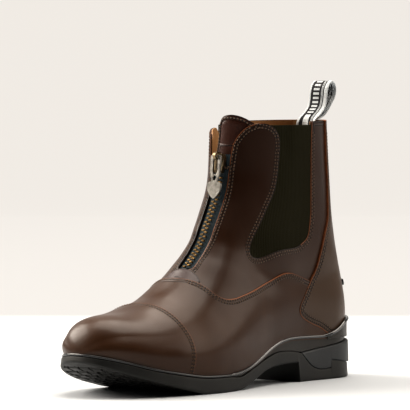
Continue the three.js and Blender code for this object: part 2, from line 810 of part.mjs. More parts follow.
const capRegion = sidePrism([
  ...sideCurve(CAP_SEAM, 10),
  [SPREAD, 0],
  [SPREAD, CAP_SEAM[0].up * BOOT_HEIGHT]
])
const vampSide = sideCurve(VAMP_SEAM, 26)
const vampRegion = sidePrism([
  [vampSide[0][0], BOOT_HEIGHT],
  ...vampSide,
  [vampSide[vampSide.length - 1][0], 0],
  [SPREAD, 0],
  [SPREAD, BOOT_HEIGHT]
])
const counterRegion = sidePrism([
  ...sideCurve(COUNTER_SEAM, 26),
  [-SPREAD, COUNTER_SEAM[COUNTER_SEAM.length - 1].up * BOOT_HEIGHT],
  [-SPREAD, COUNTER_SEAM[0].up * BOOT_HEIGHT]
])

function aboveFeather(lift) {
  const line = profile((x) => feather(x) + lift, -BEYOND, SOLE_LENGTH + BEYOND)
  return sidePrism([...line, [SOLE_LENGTH + BEYOND, SPREAD], [-BEYOND, SPREAD]])
}

const underCollar = sidePrism([
  [-SPREAD, -SPREAD],
  [SPREAD, -SPREAD],
  [SPREAD, COLLAR[COLLAR.length - 1].up * BOOT_HEIGHT],
  ...sideCurve(COLLAR, 12).reverse(),
  [-SPREAD, COLLAR[0].up * BOOT_HEIGHT]
])

function frontOutline(rows, middle, unit) {
  const outer = rows.map((row) => [middle + row.outer * unit, upBoot(row)])
  const inner = rows.map((row) => [middle - row.inner * unit, upBoot(row)]).reverse()
  return [...outer, ...inner]
}

function throat() {
  const open = frontOutline(THROAT, ZIP_MIDDLE, SLOT_HALF)
  return frontPrism(open, THROAT_BACK * SOLE_LENGTH, SOLE_LENGTH)
}

const goreOutline = sideCurve(GORE, 30)
const onSide = (side, outline) => {
  return side > 0 ? sidePrism(outline, GORE_APART, SPREAD) : sidePrism(outline, -SPREAD, -GORE_APART)
}

// Upper: one hollow solid, open at the collar, throat, gores and underneath. Vamp, toe cap and
// counter stand out from the quarter by their leather steps.

function upper() {
  const outside = form(0)
    .add(form(VAMP_STEP).intersect(vampRegion))
    .add(form(CAP_STEP).intersect(capRegion))
    .add(form(COUNTER_STEP).intersect(counterRegion))
  return outside
    .subtract(form(-WALL))
    .intersect(aboveFeather(GAP))
    .intersect(underCollar)
    .subtract(throat())
    .subtract(onSide(1, goreOutline))
    .subtract(onSide(-1, goreOutline))
}

// Elastic gores: panels set back in the upper's windows, with the running gap all round

function gore(side) {
  const inset = goreOutline.map((spot, i) => {
    const before = goreOutline[Math.max(i - 1, 0)]
    const after = goreOutline[Math.min(i + 1, goreOutline.length - 1)]
    const along = new THREE.Vector2(after[0] - before[0], after[1] - before[1]).normalize()
    return [spot[0] + along.y * GAP, spot[1] - along.x * GAP]
  })
  const high = GORE_TOP * BOOT_HEIGHT
  const below = inset.filter(([, z]) => z < high)
  const outline = [[below[0][0], high], ...below, [below[below.length - 1][0], high]]
  return shell(-GORE_SET_BACK, -GORE_SET_BACK - GORE_THICKNESS).intersect(onSide(side, outline))
}

// Zip tape and tongue lie behind one another inside the throat

const tapeOuter = -WALL - GAP
const tapeInner = tapeOuter - TAPE_THICKNESS
const tongueOuter = tapeInner - GAP

function zipStrip(half, low, high) {
  const left = ZIP_MIDDLE - half
  const right = ZIP_MIDDLE + half
  const outline = [[left, low], [right, low], [right, high], [left, high]]
  return frontPrism(outline, THROAT_BACK * SOLE_LENGTH, SOLE_LENGTH)
}

function zipTape() {
  const strip = zipStrip(TAPE_HALF, TAPE_LOW * BOOT_HEIGHT, TAPE_HIGH * BOOT_HEIGHT)
  return shell(tapeOuter, tapeInner).intersect(strip)
}

function tongue() {
  const outline = frontOutline(TONGUE, ZIP_MIDDLE, SLOT_HALF)
  const strip = frontPrism(outline, THROAT_BACK * SOLE_LENGTH, SOLE_LENGTH)
  return shell(tongueOuter, tongueOuter - TONGUE_THICKNESS).intersect(strip)
}

function zipChain() {
  const high = SLIDER_UP * BOOT_HEIGHT - SLIDER_LENGTH / 2 - GAP
  const strip = zipStrip(CHAIN_WIDTH / 2, CHAIN_LOW * BOOT_HEIGHT, high)
  return shell(CHAIN_PROUD, -WALL).intersect(strip)
}

// Insole, resting on the sole inside the upper

function insole() {
  const low = profile((x) => feather(x) + GAP, 0, SOLE_LENGTH)
  const high = profile((x) => feather(x) + GAP + INSOLE_THICKNESS, 0, SOLE_LENGTH)
  return form(-WALL - GAP).intersect(sidePrism([...low, ...high.reverse()]))
}

// Plan of the sole, shrunk by an inset, as a ring of points

function planOutline(inset) {
  const shares = []
  for (let i = 0; i < PLAN_FACETS; i += 1) {
    shares.push(HEEL_ROUND * (1 - Math.cos(Math.PI / 2 * i / PLAN_FACETS)))
  }
  for (let i = 0; i < PLAN_FACETS; i += 1) {
    shares.push(mix(HEEL_ROUND, 1 - TOE_ROUND, i / PLAN_FACETS))
  }
  for (let i = 0; i <= PLAN_FACETS; i += 1) {
    const turn = Math.sin(Math.PI / 2 * i / PLAN_FACETS) ** (2 / TOE_POWER)
    shares.push(1 - TOE_ROUND + TOE_ROUND * turn)
  }
  const at = (share, side) => {
    const half = (planHalf(share) - inset) * planEnds(share)
    return [mix(inset, SOLE_LENGTH - inset, share), planMiddle(share) + side * half]
  }
  const medial = shares.map((share) => at(share, -1))
  const lateral = shares.slice(1, -1).map((share) => at(share, 1)).reverse()
  return [...medial, ...lateral]
}

// Outsole: a rubber unit with heel base, arch and forefoot, a raised bed inside the welt and lugs

const breastFoot = BREAST_ALONG * SOLE_LENGTH - BREAST_SLOPE
const weltBack = WELT_FROM * SOLE_LENGTH
const waveSpots = WAVE.map((row) => new THREE.Vector2(alongSole(row), row.up * SEAT_HEIGHT))
const waveLine = new THREE.SplineCurve(waveSpots).getPoints(30).map((spot) => [spot.x, spot.y])
const stepX = STEP_ALONG * SOLE_LENGTH
const stepTop = STEP_UP * SEAT_HEIGHT
const backTop = BACK_UP * SEAT_HEIGHT

function undersideLine() {
  const everySecond = (_, i) => i % 2 === 0
  const arch = profile(underside, BREAST_ALONG * SOLE_LENGTH, FLAT_FROM * SOLE_LENGTH).filter(everySecond)
  const fore = profile(underside, FLAT_TO * SOLE_LENGTH, SOLE_LENGTH + BEYOND).filter(everySecond)
  return [[-BEYOND, 0], [breastFoot, 0], ...arch, ...fore]
}

function grooves() {
  const bars = []
  const half = GROOVE_WIDTH / 2
  const chevron = (x) => planPrism([
    [x - half + TREAD_SWEEP, 0],
    [x - half, -TREAD_HALF],
    [x + half, -TREAD_HALF],
    [x + half + TREAD_SWEEP, 0],
    [x + half, TREAD_HALF],
    [x - half, TREAD_HALF]
  ])
  const foreMiddle = (FLAT_FROM + FLAT_TO) / 2 * SOLE_LENGTH - TREAD_SWEEP
  for (let k = -2; k < 9; k += 1) bars.push(chevron(foreMiddle + (k + 0.5) * LUG_PITCH))
  const heelMiddle = breastFoot / 2 - TREAD_SWEEP
  for (let k = -3; k < 3; k += 1) bars.push(chevron(heelMiddle + (k + 0.5) * LUG_PITCH))
  const ceiling = profile((x) => underside(x) + TREAD_DEPTH, BREAST_ALONG * SOLE_LENGTH, SOLE_LENGTH)
  const depth = [
    [-BEYOND, -BEYOND],
    [SOLE_LENGTH, -BEYOND],
    ...ceiling.reverse(),
    [breastFoot + BREAST_SLOPE / 2, TREAD_DEPTH],
    [-BEYOND, TREAD_DEPTH]
  ]
  return wasm.Manifold.union(bars).intersect(planPrism(planOutline(TREAD_RIM))).intersect(sidePrism(depth))
}

function outsole() {
  const shelf = (x) => feather(x) - WELT_THICKNESS - GAP
  const body = sidePrism([
    ...undersideLine(),
    ...profile(shelf, weltBack, SOLE_LENGTH + BEYOND).reverse(),
    ...waveLine,
    [stepX, stepTop],
    [0, backTop],
    [-BEYOND, backTop]
  ])
  const bed = sidePrism([
    ...profile(shelf, weltBack, SOLE_LENGTH).map(([x, z]) => [x, z - 1]),
    ...profile(feather, weltBack, SOLE_LENGTH).reverse()
  ])
  return body.intersect(planPrism(planOutline(0)))
    .add(bed.intersect(planPrism(planOutline(WELT_WIDTH + GAP))))
    .subtract(grooves())
}

function welt() {
  const strip = sidePrism([
    ...profile((x) => feather(x) - WELT_THICKNESS, weltBack + GAP, SOLE_LENGTH),
    ...profile(feather, weltBack + GAP, SOLE_LENGTH).reverse()
  ])
  return strip.intersect(planPrism(planOutline(WELT_INSET))).subtract(planPrism(planOutline(WELT_WIDTH)))
}

// Heel block, the stiff wedge between the outsole's heel and the midsole

const blockFront = BLOCK_FRONT * SOLE_LENGTH
const blockTop = (x) => mix(BLOCK_BACK_UP, BLOCK_FRONT_UP, clamp(x / blockFront)) * SEAT_HEIGHT

function heelBlock() {
  const under = waveLine.filter(([x]) => x < blockFront - 2)
  const dip = under.map(([x, z]) => [Math.max(x, stepX + GAP), z + GAP])
  return sidePrism([
    [-BEYOND, blockTop(-BEYOND)],
    [-BEYOND, backTop + GAP],
    [0, backTop + GAP],
    [stepX + GAP, stepTop + GAP],
    ...dip.reverse(),
    [blockFront, blockTop(blockFront)]
  ]).intersect(planPrism(planOutline(0)))
}

// Midsole: the band between outsole and upper, with a bead along its edge and a cup at the heel

function midsole() {
  const front = weltBack
  const over = waveLine.filter(([x]) => x > blockFront + 1).map(([x, z]) => [x, z + GAP])
  const band = sidePrism([
    [-BEYOND, blockTop(0) + GAP],
    [blockFront, blockTop(blockFront) + GAP],
    ...over.reverse(),
    [front, feather(front)],
    ...profile(feather, -BEYOND, front).reverse()
  ])
  const bead = sidePrism([
    ...profile((x) => feather(x) - BEAD_HEIGHT, -BEYOND, front - BEAD_HEIGHT),
    ...profile(feather, -BEYOND, front - BEAD_HEIGHT).reverse()
  ])
  const cupEdge = CUP_EDGE.map((row) => [alongSole(row), row.up * SEAT_HEIGHT])
  const cupSide = sidePrism([
    ...cupEdge,
    [cupEdge[cupEdge.length - 1][0], SEAT_HEIGHT - BEAD_HEIGHT],
    [cupEdge[0][0], SEAT_HEIGHT - BEAD_HEIGHT]
  ])
  const seated = form(COUNTER_STEP + GAP).intersect(aboveFeather(0))
  return band.intersect(planPrism(planOutline(MIDSOLE_INSET)))
    .add(bead.intersect(planPrism(planOutline(MIDSOLE_INSET - BEAD_PROUD))))
    .add(form(COUNTER_STEP + GAP + CUP_WALL).intersect(cupSide))
    .subtract(seated)
}

// Rest for a spur strap, a small bar across the back of the counter

function spurRest() {
  const middle = REST_UP * BOOT_HEIGHT
  const half = REST_WIDTH / 2
  const bar = frontPrism([
    [-half, middle - REST_HEIGHT / 2],
    [half, middle - REST_HEIGHT / 2],
    [half, middle + REST_HEIGHT / 2],
    [-half, middle + REST_HEIGHT / 2]
  ], -SPREAD, FAN_ALONG * SOLE_LENGTH / 3)
  return shell(COUNTER_STEP + GAP + REST_PROUD, COUNTER_STEP + GAP).intersect(bar)
}

// Pull loop: one length of webbing, its two ends doubled down inside the back of the collar,
// where they follow the curve of the heel

function pullLoop() {
  const rootX = backLine(BOOT_HEIGHT) + WALL
  const spots = LOOP.map((row) => new THREE.Vector2(
    rootX + row.forward * LOOP_REACH,
    BOOT_HEIGHT + row.up * LOOP_RISE
  ))
  const line = new THREE.SplineCurve(spots).getPoints(40)
  const face = (side) => line.map((spot, i) => {
    const before = line[Math.max(i - 1, 0)]
    const after = line[Math.min(i + 1, line.length - 1)]
    const way = after.clone().sub(before).normalize()
    return [spot.x - way.y * side * WEBBING_THICKNESS / 2, spot.y + way.x * side * WEBBING_THICKNESS / 2]
  })
  const half = WEBBING_WIDTH / 2
  const low = BOOT_HEIGHT - LOOP_TAIL
  const high = BOOT_HEIGHT + LOOP_SEAM
  const tail = frontPrism([[-half, low], [half, low], [half, high], [-half, high]], 0, rootX + WEBBING_WIDTH)
  const doubled = shell(-WALL - GAP, -WALL - GAP - 2 * WEBBING_THICKNESS).intersect(tail)
  return sidePrism([...face(1), ...face(-1).reverse()], -half, half).add(doubled)
}

// Zip slider, in its own frame: x out of the boot, z up along the zip, origin on the leather's face

const sliderZ = SLIDER_UP * BOOT_HEIGHT
const pivotOut = SLIDER_FRONT + BAIL_EYE + BAIL_STAND

function slider() {
  const half = SLIDER_WIDTH / 2
  const tall = SLIDER_LENGTH / 2
  const edge = SLIDER_EDGE.map((row) => [row.half * half, row.up * tall])
  const mirrored = edge.map(([y, z]) => [-y, z]).reverse()
  const plate = frontPrism([...edge, ...mirrored], -WALL + GAP, SLIDER_FRONT)
  const ring = (radius) => {
    const points = []
    for (let i = 0; i <= 10; i += 1) {
      const angle = Math.PI * (i / 10 - 0.5)
      points.push([pivotOut + radius * Math.cos(angle), BAIL_UP + radius * Math.sin(angle)])
    }
    const foot = SLIDER_FRONT - BAIL_SINK
    return [...points, [foot, BAIL_UP + radius], [foot, BAIL_UP - radius]]
  }
  const eye = ring(BAIL_EYE).map(([x, z]) => [Math.max(x, SLIDER_FRONT), z])
  const arch = sidePrism(ring(BAIL_EYE + BAIL_STROKE), -BAIL_WIDTH / 2, BAIL_WIDTH / 2)
  return plate.add(arch.subtract(sidePrism(eye, -BAIL_WIDTH, BAIL_WIDTH)))
}

// Zip pull, in its own frame: it hangs down from its bar, whose middle is the origin

function pull() {
  const top = PULL_BAR / 2
  const half = PULL_WIDTH / 2
  const neck = PULL_NECK_WIDTH / 2
  const drop = PULL_DROP_WIDTH / 2
  const tip = top - PULL_LENGTH
  const dropTop = tip + PULL_DROP_LENGTH
  const slotEnd = top - PULL_BAR - PULL_SLOT_LENGTH
  const waist = half * PULL_TAPER
  const belly = drop * PULL_TAPER
  const shape = new THREE.Shape()
  shape.moveTo(-half + PULL_CORNER, top)
  shape.lineTo(half - PULL_CORNER, top)
  shape.quadraticCurveTo(half, top, half, top - PULL_CORNER)
  shape.lineTo(waist, slotEnd)
  shape.lineTo(neck, dropTop + PULL_NECK_LENGTH)
  shape.lineTo(neck, dropTop)
  shape.quadraticCurveTo(drop, dropTop, drop, dropTop - PULL_DROP_ROUND)
  shape.quadraticCurveTo(belly, tip + PULL_TIP_ROUND, 0, tip)
  shape.quadraticCurveTo(-belly, tip + PULL_TIP_ROUND, -drop, dropTop - PULL_DROP_ROUND)
  shape.quadraticCurveTo(-drop, dropTop, -neck, dropTop)
  shape.lineTo(-neck, dropTop + PULL_NECK_LENGTH)
  shape.lineTo(-waist, slotEnd)
  shape.lineTo(-half, top - PULL_CORNER)
  shape.quadraticCurveTo(-half, top, -half + PULL_CORNER, top)
  const slotHalf = BAIL_WIDTH / 2 + PULL_SLOT_PLAY
  const slot = new THREE.Path()
  slot.moveTo(-slotHalf, top - PULL_BAR)
  slot.lineTo(-slotHalf, slotEnd + slotHalf)
  slot.absarc(0, slotEnd + slotHalf, slotHalf, Math.PI, 2 * Math.PI)
  slot.lineTo(slotHalf, top - PULL_BAR)
  slot.closePath()
  const hole = new THREE.Path()
  hole.absarc(0, (slotEnd + dropTop) / 2, PULL_HOLE, 0, 2 * Math.PI)
  shape.holes.push(slot, hole)
  const geometry = new THREE.ExtrudeGeometry(shape, {
    depth: PULL_THICKNESS, bevelEnabled: false, steps: 1, curveSegments: 6
  })
  const turn = new THREE.Matrix4().makeBasis(
    new THREE.Vector3(0, 1, 0),
    new THREE.Vector3(0, 0, 1),
    new THREE.Vector3(1, 0, 0)
  )
  return geometry.translate(0, 0, -PULL_THICKNESS / 2).applyMatrix4(turn)
}

function zipHead() {
  const head = new THREE.Group()
  const rise = frontAt(sliderZ + SLIDER_LENGTH / 2) - frontAt(sliderZ - SLIDER_LENGTH / 2)
  head.rotation.y = Math.atan2(rise, SLIDER_LENGTH)
  head.position.set(frontAt(sliderZ), ZIP_MIDDLE, sliderZ)
  head.add(mesh('zip_slider', geometryOf(slider()), FINISH.brass))
  return head
}

// The pull leans on the zip below it: its tip clears the chain by the running clearance

function hangingPull() {
  const head = zipHead()
  head.updateMatrixWorld(true)
  const pivot = new THREE.Vector3(pivotOut, 0, BAIL_UP).applyMatrix4(head.matrixWorld)
  const drop = PULL_LENGTH - PULL_BAR / 2
  const tipX = frontAt(pivot.z - drop) + CHAIN_PROUD + PULL_CLEARANCE + PULL_THICKNESS / 2
  const hung = mesh('zip_pull', pull(), FINISH.nickel)
  hung.position.copy(pivot)
  hung.rotation.y = -Math.atan2(tipX - pivot.x, drop)
  return hung
}

// The boot

const boot = new THREE.Group()
boot.add(mesh('upper', geometryOf(upper()), FINISH.leather))
boot.add(mesh('tongue', geometryOf(tongue()), FINISH.leather))
boot.add(mesh('gore_lateral', geometryOf(gore(1)), FINISH.elastic))
boot.add(mesh('gore_medial', geometryOf(gore(-1)), FINISH.elastic))
boot.add(mesh('zip_tape', geometryOf(zipTape()), FINISH.tape))
boot.add(mesh('zip_chain', geometryOf(zipChain()), FINISH.brass))
boot.add(mesh('insole', geometryOf(insole()), FINISH.lining))
boot.add(mesh('outsole', geometryOf(outsole()), FINISH.rubber))
boot.add(mesh('welt', geometryOf(welt()), FINISH.gloss))
boot.add(mesh('midsole', geometryOf(midsole()), FINISH.midsole))
boot.add(mesh('heel_block', geometryOf(heelBlock()), FINISH.block))
boot.add(mesh('spur_rest', geometryOf(spurRest()), FINISH.rubber))
boot.add(mesh('pull_loop', geometryOf(pullLoop()), FINISH.webbing))
boot.add(zipHead())
boot.add(hangingPull())
boot.position.x = -breastFoot / 2

export default boot
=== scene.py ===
"""Paddock boot for the left foot: leather upper with a front zip and elastic gores on a rubber sole."""

import math

import bmesh
import bpy
import numpy as np
from mathutils import Matrix, Vector


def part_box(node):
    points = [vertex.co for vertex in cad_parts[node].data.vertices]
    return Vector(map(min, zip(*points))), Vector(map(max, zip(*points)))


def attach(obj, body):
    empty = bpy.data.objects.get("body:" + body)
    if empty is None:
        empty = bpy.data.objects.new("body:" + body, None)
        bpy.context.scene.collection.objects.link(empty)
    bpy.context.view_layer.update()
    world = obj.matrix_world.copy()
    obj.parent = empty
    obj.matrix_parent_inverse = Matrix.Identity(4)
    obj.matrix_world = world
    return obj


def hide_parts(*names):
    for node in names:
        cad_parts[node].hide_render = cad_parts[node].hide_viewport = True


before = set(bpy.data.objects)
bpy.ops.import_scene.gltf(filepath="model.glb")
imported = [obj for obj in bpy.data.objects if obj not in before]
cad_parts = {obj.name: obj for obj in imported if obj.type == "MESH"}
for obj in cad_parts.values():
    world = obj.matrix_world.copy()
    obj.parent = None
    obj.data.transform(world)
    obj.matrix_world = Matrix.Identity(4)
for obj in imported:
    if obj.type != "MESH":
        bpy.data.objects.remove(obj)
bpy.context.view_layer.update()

# Lengths below are in millimetres. x is 0 at the sole's rearmost point and runs to the toe, y runs to
# the outer side and z up from the floor. A piece's mesh is moved to the frame's origin when it is made.

MM = 0.001
ORIGIN_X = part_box("outsole")[0][0] / MM

# The camera stands where the photograph was taken from

CAMERA_TURN = 0.85957
CAMERA_PITCH = 0.053278
CAMERA_DISTANCE = 2437.19
CAMERA_AIM = np.array([140.0, 0.0, 85.0])
FOCAL_PIXELS = 3359.0
PHOTO_SIZE = 410.0
AXIS_PIXEL = np.array([211.25, 268.30])
MIDDLE_PIXEL = np.array([205.0, 205.0])
SENSOR = 36.0

turn_cos, turn_sin = math.cos(CAMERA_TURN), math.sin(CAMERA_TURN)
pitch_cos, pitch_sin = math.cos(CAMERA_PITCH), math.sin(CAMERA_PITCH)
toward = np.array([turn_sin * pitch_cos, turn_cos * pitch_cos, pitch_sin])
right = np.array([-turn_cos, turn_sin, 0.0])
upward = np.cross(toward, right)
camera_spot = CAMERA_AIM + toward * CAMERA_DISTANCE + np.array([ORIGIN_X, 0, 0])
off = (MIDDLE_PIXEL - AXIS_PIXEL) / FOCAL_PIXELS
ray = -toward + right * off[0] - upward * off[1]
ray /= np.linalg.norm(ray)
camera_data = bpy.data.cameras.new("camera")
camera_data.sensor_width = SENSOR
camera_data.lens = FOCAL_PIXELS / PHOTO_SIZE * SENSOR
camera_data.clip_end = 20
camera = bpy.data.objects.new("camera", camera_data)
bpy.context.scene.collection.objects.link(camera)
side_way = np.cross(ray, upward)
side_way /= np.linalg.norm(side_way)
top_way = np.cross(side_way, ray)
camera.matrix_world = Matrix([
    [side_way[0], top_way[0], -ray[0], camera_spot[0] * MM],
    [side_way[1], top_way[1], -ray[1], camera_spot[1] * MM],
    [side_way[2], top_way[2], -ray[2], camera_spot[2] * MM],
    [0, 0, 0, 1],
])
bpy.context.scene.camera = camera

# Driving sizes of the last and the boot

SOLE_LENGTH = 280.0
BALL_WIDTH = 97.0
HEEL_WIDTH = 66.0
BOOT_HEIGHT = 190.0
SEAT_HEIGHT = 33.0
FORE_THICKNESS = 12.6
TOE_SPRING = 19.5
ARCH_RISE = 14.4
INSTEP_HEIGHT = 121.0
TOE_BOX_HEIGHT = 56.0
COLLAR_LENGTH = 107.0
COLLAR_WIDTH = 66.0
BACK_LEAN = 24.0
HALF_BALL = BALL_WIDTH / 2
HALF_HEEL = HEEL_WIDTH / 2
HALF_COLLAR = COLLAR_WIDTH / 2

# Leather, gaps and steps

WALL = 2.2
GAP = 0.3
COUNTER_STEP = 0.8
GORE_SET_BACK = 0.4
GORE_THICKNESS = 1.5
TONGUE_THICKNESS = 1.8
TAPE_THICKNESS = 1.0
TOE_LEDGE = 4.2
SIDE_LEDGE = 4.0
REAR_LEDGE = 2.0
HEEL_LEDGE = 5.0
ZIP_MIDDLE = 2.0
SLOT_HALF = 7.8


def table(columns, *rows):
    """A short table's columns by name, as arrays."""
    return dict(zip(columns.split(), np.array(rows, float).T))


# The last: shares of the driving sizes at places along the sole or up the boot

PLAN = table(
    "along middle heel ball",
    (0.00, 0.000, 1.00, 0.000),
    (0.12, 0.000, 1.00, 0.000),
    (0.25, 0.016, 0.96, 0.000),
    (0.38, 0.062, 0.60, 0.250),
    (0.50, 0.082, 0.25, 0.600),
    (0.60, 0.052, 0.00, 0.907),
    (0.68, 0.010, 0.00, 0.985),
    (0.76, -0.020, 0.00, 0.985),
    (0.85, -0.045, 0.00, 0.925),
    (0.93, -0.062, 0.00, 0.860),
    (1.00, -0.072, 0.00, 0.810),
)
HEEL_ROUND = 0.12
TOE_ROUND = 0.235
TOE_POWER = 2.3

FEATHER = table(
    "along seat fore spring",
    (0.000, 1.00, 0.00, 0.00),
    (0.160, 1.00, 0.00, 0.00),
    (0.310, 1.02, 0.00, 0.00),
    (0.355, 0.97, 0.00, 0.00),
    (0.400, 0.80, 0.11, 0.00),
    (0.455, 0.55, 0.27, 0.00),
    (0.535, 0.15, 0.78, 0.00),
    (0.610, 0.00, 1.00, 0.00),
    (0.700, 0.00, 1.04, 0.00),
    (0.785, 0.00, 1.07, 0.14),
    (0.870, 0.00, 1.06, 0.38),
    (0.930, 0.00, 1.03, 0.66),
    (1.000, 0.00, 0.95, 1.00),
)

UNDERSIDE = table(
    "along arch spring",
    (0.285, 1.00, 0.00),
    (0.335, 1.00, 0.00),
    (0.385, 0.94, 0.00),
    (0.430, 0.81, 0.00),
    (0.475, 0.55, 0.00),
    (0.520, 0.24, 0.00),
    (0.570, 0.03, 0.00),
    (0.600, 0.00, 0.00),
    (0.700, 0.00, 0.00),
    (0.775, 0.00, 0.20),
    (0.895, 0.00, 0.66),
    (0.970, 0.00, 1.06),
    (1.000, 0.00, 1.28),
)

RIDGE = table(
    "along instep box",
    (0.210, 1.000, 0.000),
    (0.465, 1.000, 0.000),
    (0.535, 0.900, 0.000),
    (0.570, 0.815, 0.000),
    (0.600, 0.745, 0.000),
    (0.635, 0.672, 0.000),
    (0.665, 0.545, 0.160),
    (0.700, 0.000, 1.214),
    (0.725, 0.000, 1.160),
    (0.760, 0.000, 1.108),
    (0.815, 0.000, 1.020),
    (0.860, 0.000, 0.985),
    (0.915, 0.000, 0.970),
    (0.950, 0.000, 0.990),
)
TIP_ROUND = 30.0
TIP_FALL = 2.6
TIP_POWER = 2.2

FULLNESS = table(
    "along power ridge",
    (0.00, 2.40, 0.000),
    (0.43, 3.00, 0.023),
    (0.57, 2.55, 0.052),
    (0.71, 2.60, 0.009),
    (0.86, 3.00, -0.066),
    (1.00, 2.40, -0.104),
)
SIDE_POWER = 2.15
SIDE_BULGE = 2.2
BULGE_SPAN = 0.62
BULGE_HALF = 20.0
WAIST_FROM = 0.4
WAIST_OVER = 0.25
END_STEEP = 9000.0

BACK = table(
    "up set",
    (0.16, 0.070),
    (0.24, 0.145),
    (0.32, 0.265),
    (0.39, 0.405),
    (0.46, 0.600),
    (0.53, 0.735),
    (0.62, 0.830),
    (0.75, 0.875),
    (0.89, 0.940),
    (1.00, 1.020),
    (1.10, 1.050),
)
LEAN_FADE = 120.0
LEAN_POWER = 2.0

SHAFT = table(
    "up front half rear fore",
    (0.21, 0.804, 0.667, 0.374, 0.467),
    (0.37, 0.972, 0.850, 0.374, 0.514),
    (0.47, 1.103, 0.985, 0.374, 0.543),
    (0.58, 1.178, 1.006, 0.393, 0.560),
    (0.66, 1.118, 0.988, 0.411, 0.545),
    (0.74, 1.050, 0.976, 0.430, 0.533),
    (0.82, 1.024, 0.976, 0.449, 0.531),
    (0.90, 1.011, 0.982, 0.467, 0.525),
    (1.00, 0.998, 1.000, 0.467, 0.527),
    (1.10, 1.010, 1.010, 0.467, 0.523),
)
SHAFT_POWER = 2.1
BLEND = 700.0

# Seams and openings in the side view, as shares of sole length and boot height

CAP_SEAM = table(
    "along up", (0.762, 0.42), (0.762, 0.32), (0.756, 0.27), (0.747, 0.22), (0.747, 0.17), (0.752, 0.00)
)
VAMP_SEAM = table(
    "along up",
    (0.652, 0.420),
    (0.640, 0.410),
    (0.629, 0.386),
    (0.617, 0.360),
    (0.595, 0.344),
    (0.568, 0.342),
    (0.541, 0.348),
    (0.475, 0.370),
    (0.400, 0.399),
    (0.354, 0.422),
    (0.326, 0.426),
    (0.293, 0.416),
    (0.200, 0.370),
)
COUNTER_SEAM = table(
    "along up",
    (0.150, 0.170),
    (0.193, 0.204),
    (0.228, 0.221),
    (0.263, 0.243),
    (0.281, 0.264),
    (0.284, 0.291),
    (0.263, 0.336),
    (0.237, 0.388),
    (0.217, 0.430),
    (0.198, 0.507),
    (0.180, 0.570),
    (0.155, 0.640),
    (0.146, 0.740),
    (0.147, 0.860),
    (0.152, 1.050),
)
GORE = table(
    "along up",
    (0.352, 1.040),
    (0.354, 0.880),
    (0.368, 0.757),
    (0.402, 0.672),
    (0.446, 0.576),
    (0.462, 0.527),
    (0.460, 0.500),
    (0.444, 0.489),
    (0.420, 0.492),
    (0.365, 0.514),
    (0.301, 0.522),
    (0.276, 0.536),
    (0.252, 0.562),
    (0.241, 0.620),
    (0.235, 0.700),
    (0.231, 1.040),
)
GORE_TOP = 0.993

# Throat and tongue from the front: distances from the zip's middle as shares of the slot's half width

THROAT = table(
    "up inner outer",
    (0.452, 0.70, 0.70),
    (0.462, 1.00, 0.95),
    (0.800, 1.02, 0.96),
    (0.840, 1.25, 1.00),
    (0.880, 1.70, 1.07),
    (0.920, 1.88, 1.20),
    (0.942, 1.97, 1.42),
    (0.957, 2.15, 1.62),
    (0.968, 2.50, 1.80),
    (0.977, 3.05, 1.97),
    (0.984, 3.90, 2.12),
    (0.990, 5.20, 2.32),
    (0.996, 7.00, 2.56),
    (1.002, 7.60, 2.95),
    (1.008, 7.60, 3.60),
    (1.030, 7.60, 4.60),
)
THROAT_BACK = 0.36
COLLAR = table(
    "along up",
    (0.000, 1.012),
    (0.215, 1.008),
    (0.300, 1.000),
    (0.345, 0.918),
    (0.352, 0.938),
    (0.358, 0.960),
    (0.367, 0.979),
    (0.380, 0.992),
    (0.396, 1.000),
    (0.420, 1.005),
    (1.000, 1.006),
)
MEDIAL_DROP = 2.0
TONGUE = table(
    "up inner outer",
    (0.500, 1.60, 1.60),
    (0.560, 2.30, 2.60),
    (0.840, 2.30, 2.90),
    (0.900, 1.30, 2.90),
    (0.990, 1.00, 2.75),
    (1.006, 0.90, 2.50),
    (1.018, 0.65, 2.15),
    (1.027, 0.20, 1.60),
    (1.031, -0.40, 0.95),
)


def curve_through(places, heights):
    """Monotone cubic: between two points a Hermite cubic whose end slopes are the harmonic means of the
    chords beside them, so that it never overshoots. It is held level past both ends."""
    at = np.asarray(places, float)
    height = np.asarray(heights, float)
    step = np.diff(at)
    slope = np.diff(height) / step
    heavy = 2 * step[1:] + step[:-1]
    light = step[1:] + 2 * step[:-1]
    turns = slope[:-1] * slope[1:] <= 0
    safe = np.where(turns, 1, slope[:-1]), np.where(turns, 1, slope[1:])
    inner = (heavy + light) / (heavy / safe[0] + light / safe[1])
    lean = np.concatenate([slope[:1], np.where(turns, 0, inner), slope[-1:]])

    def curve(wanted):
        """The Hermite cubic of the stretch that each wanted place lies in."""
        x = np.clip(wanted, at[0], at[-1])
        i = np.clip(np.searchsorted(at, x, side="right") - 1, 0, len(at) - 2)
        t = (x - at[i]) / step[i]
        start = height[i] * (1 + 2 * t) * (1 - t) ** 2 + lean[i] * step[i] * t * (1 - t) ** 2
        end = height[i + 1] * t * t * (3 - 2 * t) + lean[i + 1] * step[i] * t * t * (t - 1)
        return start + end

    return curve


def soft_curve(places, heights, reach):
    """The monotone curve averaged with a bell-shaped weight, so that its bend changes gradually too. It
    goes on straight past both ends while it is averaged, which leaves the ends where they are."""
    curve = curve_through(places, heights)
    low, high = places[0], places[-1]
    step = reach / 5
    at = np.arange(low - 4 * reach, high + 4 * reach, step)
    tiny = (high - low) * 1e-4
    before = (curve(low + tiny) - curve(low)) / tiny
    after = (curve(high) - curve(high - tiny)) / tiny
    values = curve(at) + before * np.minimum(at - low, 0) + after * np.maximum(at - high, 0)
    bell = np.exp(-0.5 * (np.arange(-15, 16) / 5) ** 2)
    values = np.convolve(values, bell / bell.sum(), "same")
    kept = (at > low - reach) & (at < high + reach)
    return curve_through(at[kept], values[kept])


def along(rows):
    """A table's shares of the sole's length, in mm."""
    return rows["along"] * SOLE_LENGTH


def up(rows):
    """A table's shares of the boot's height, in mm."""
    return rows["up"] * BOOT_HEIGHT


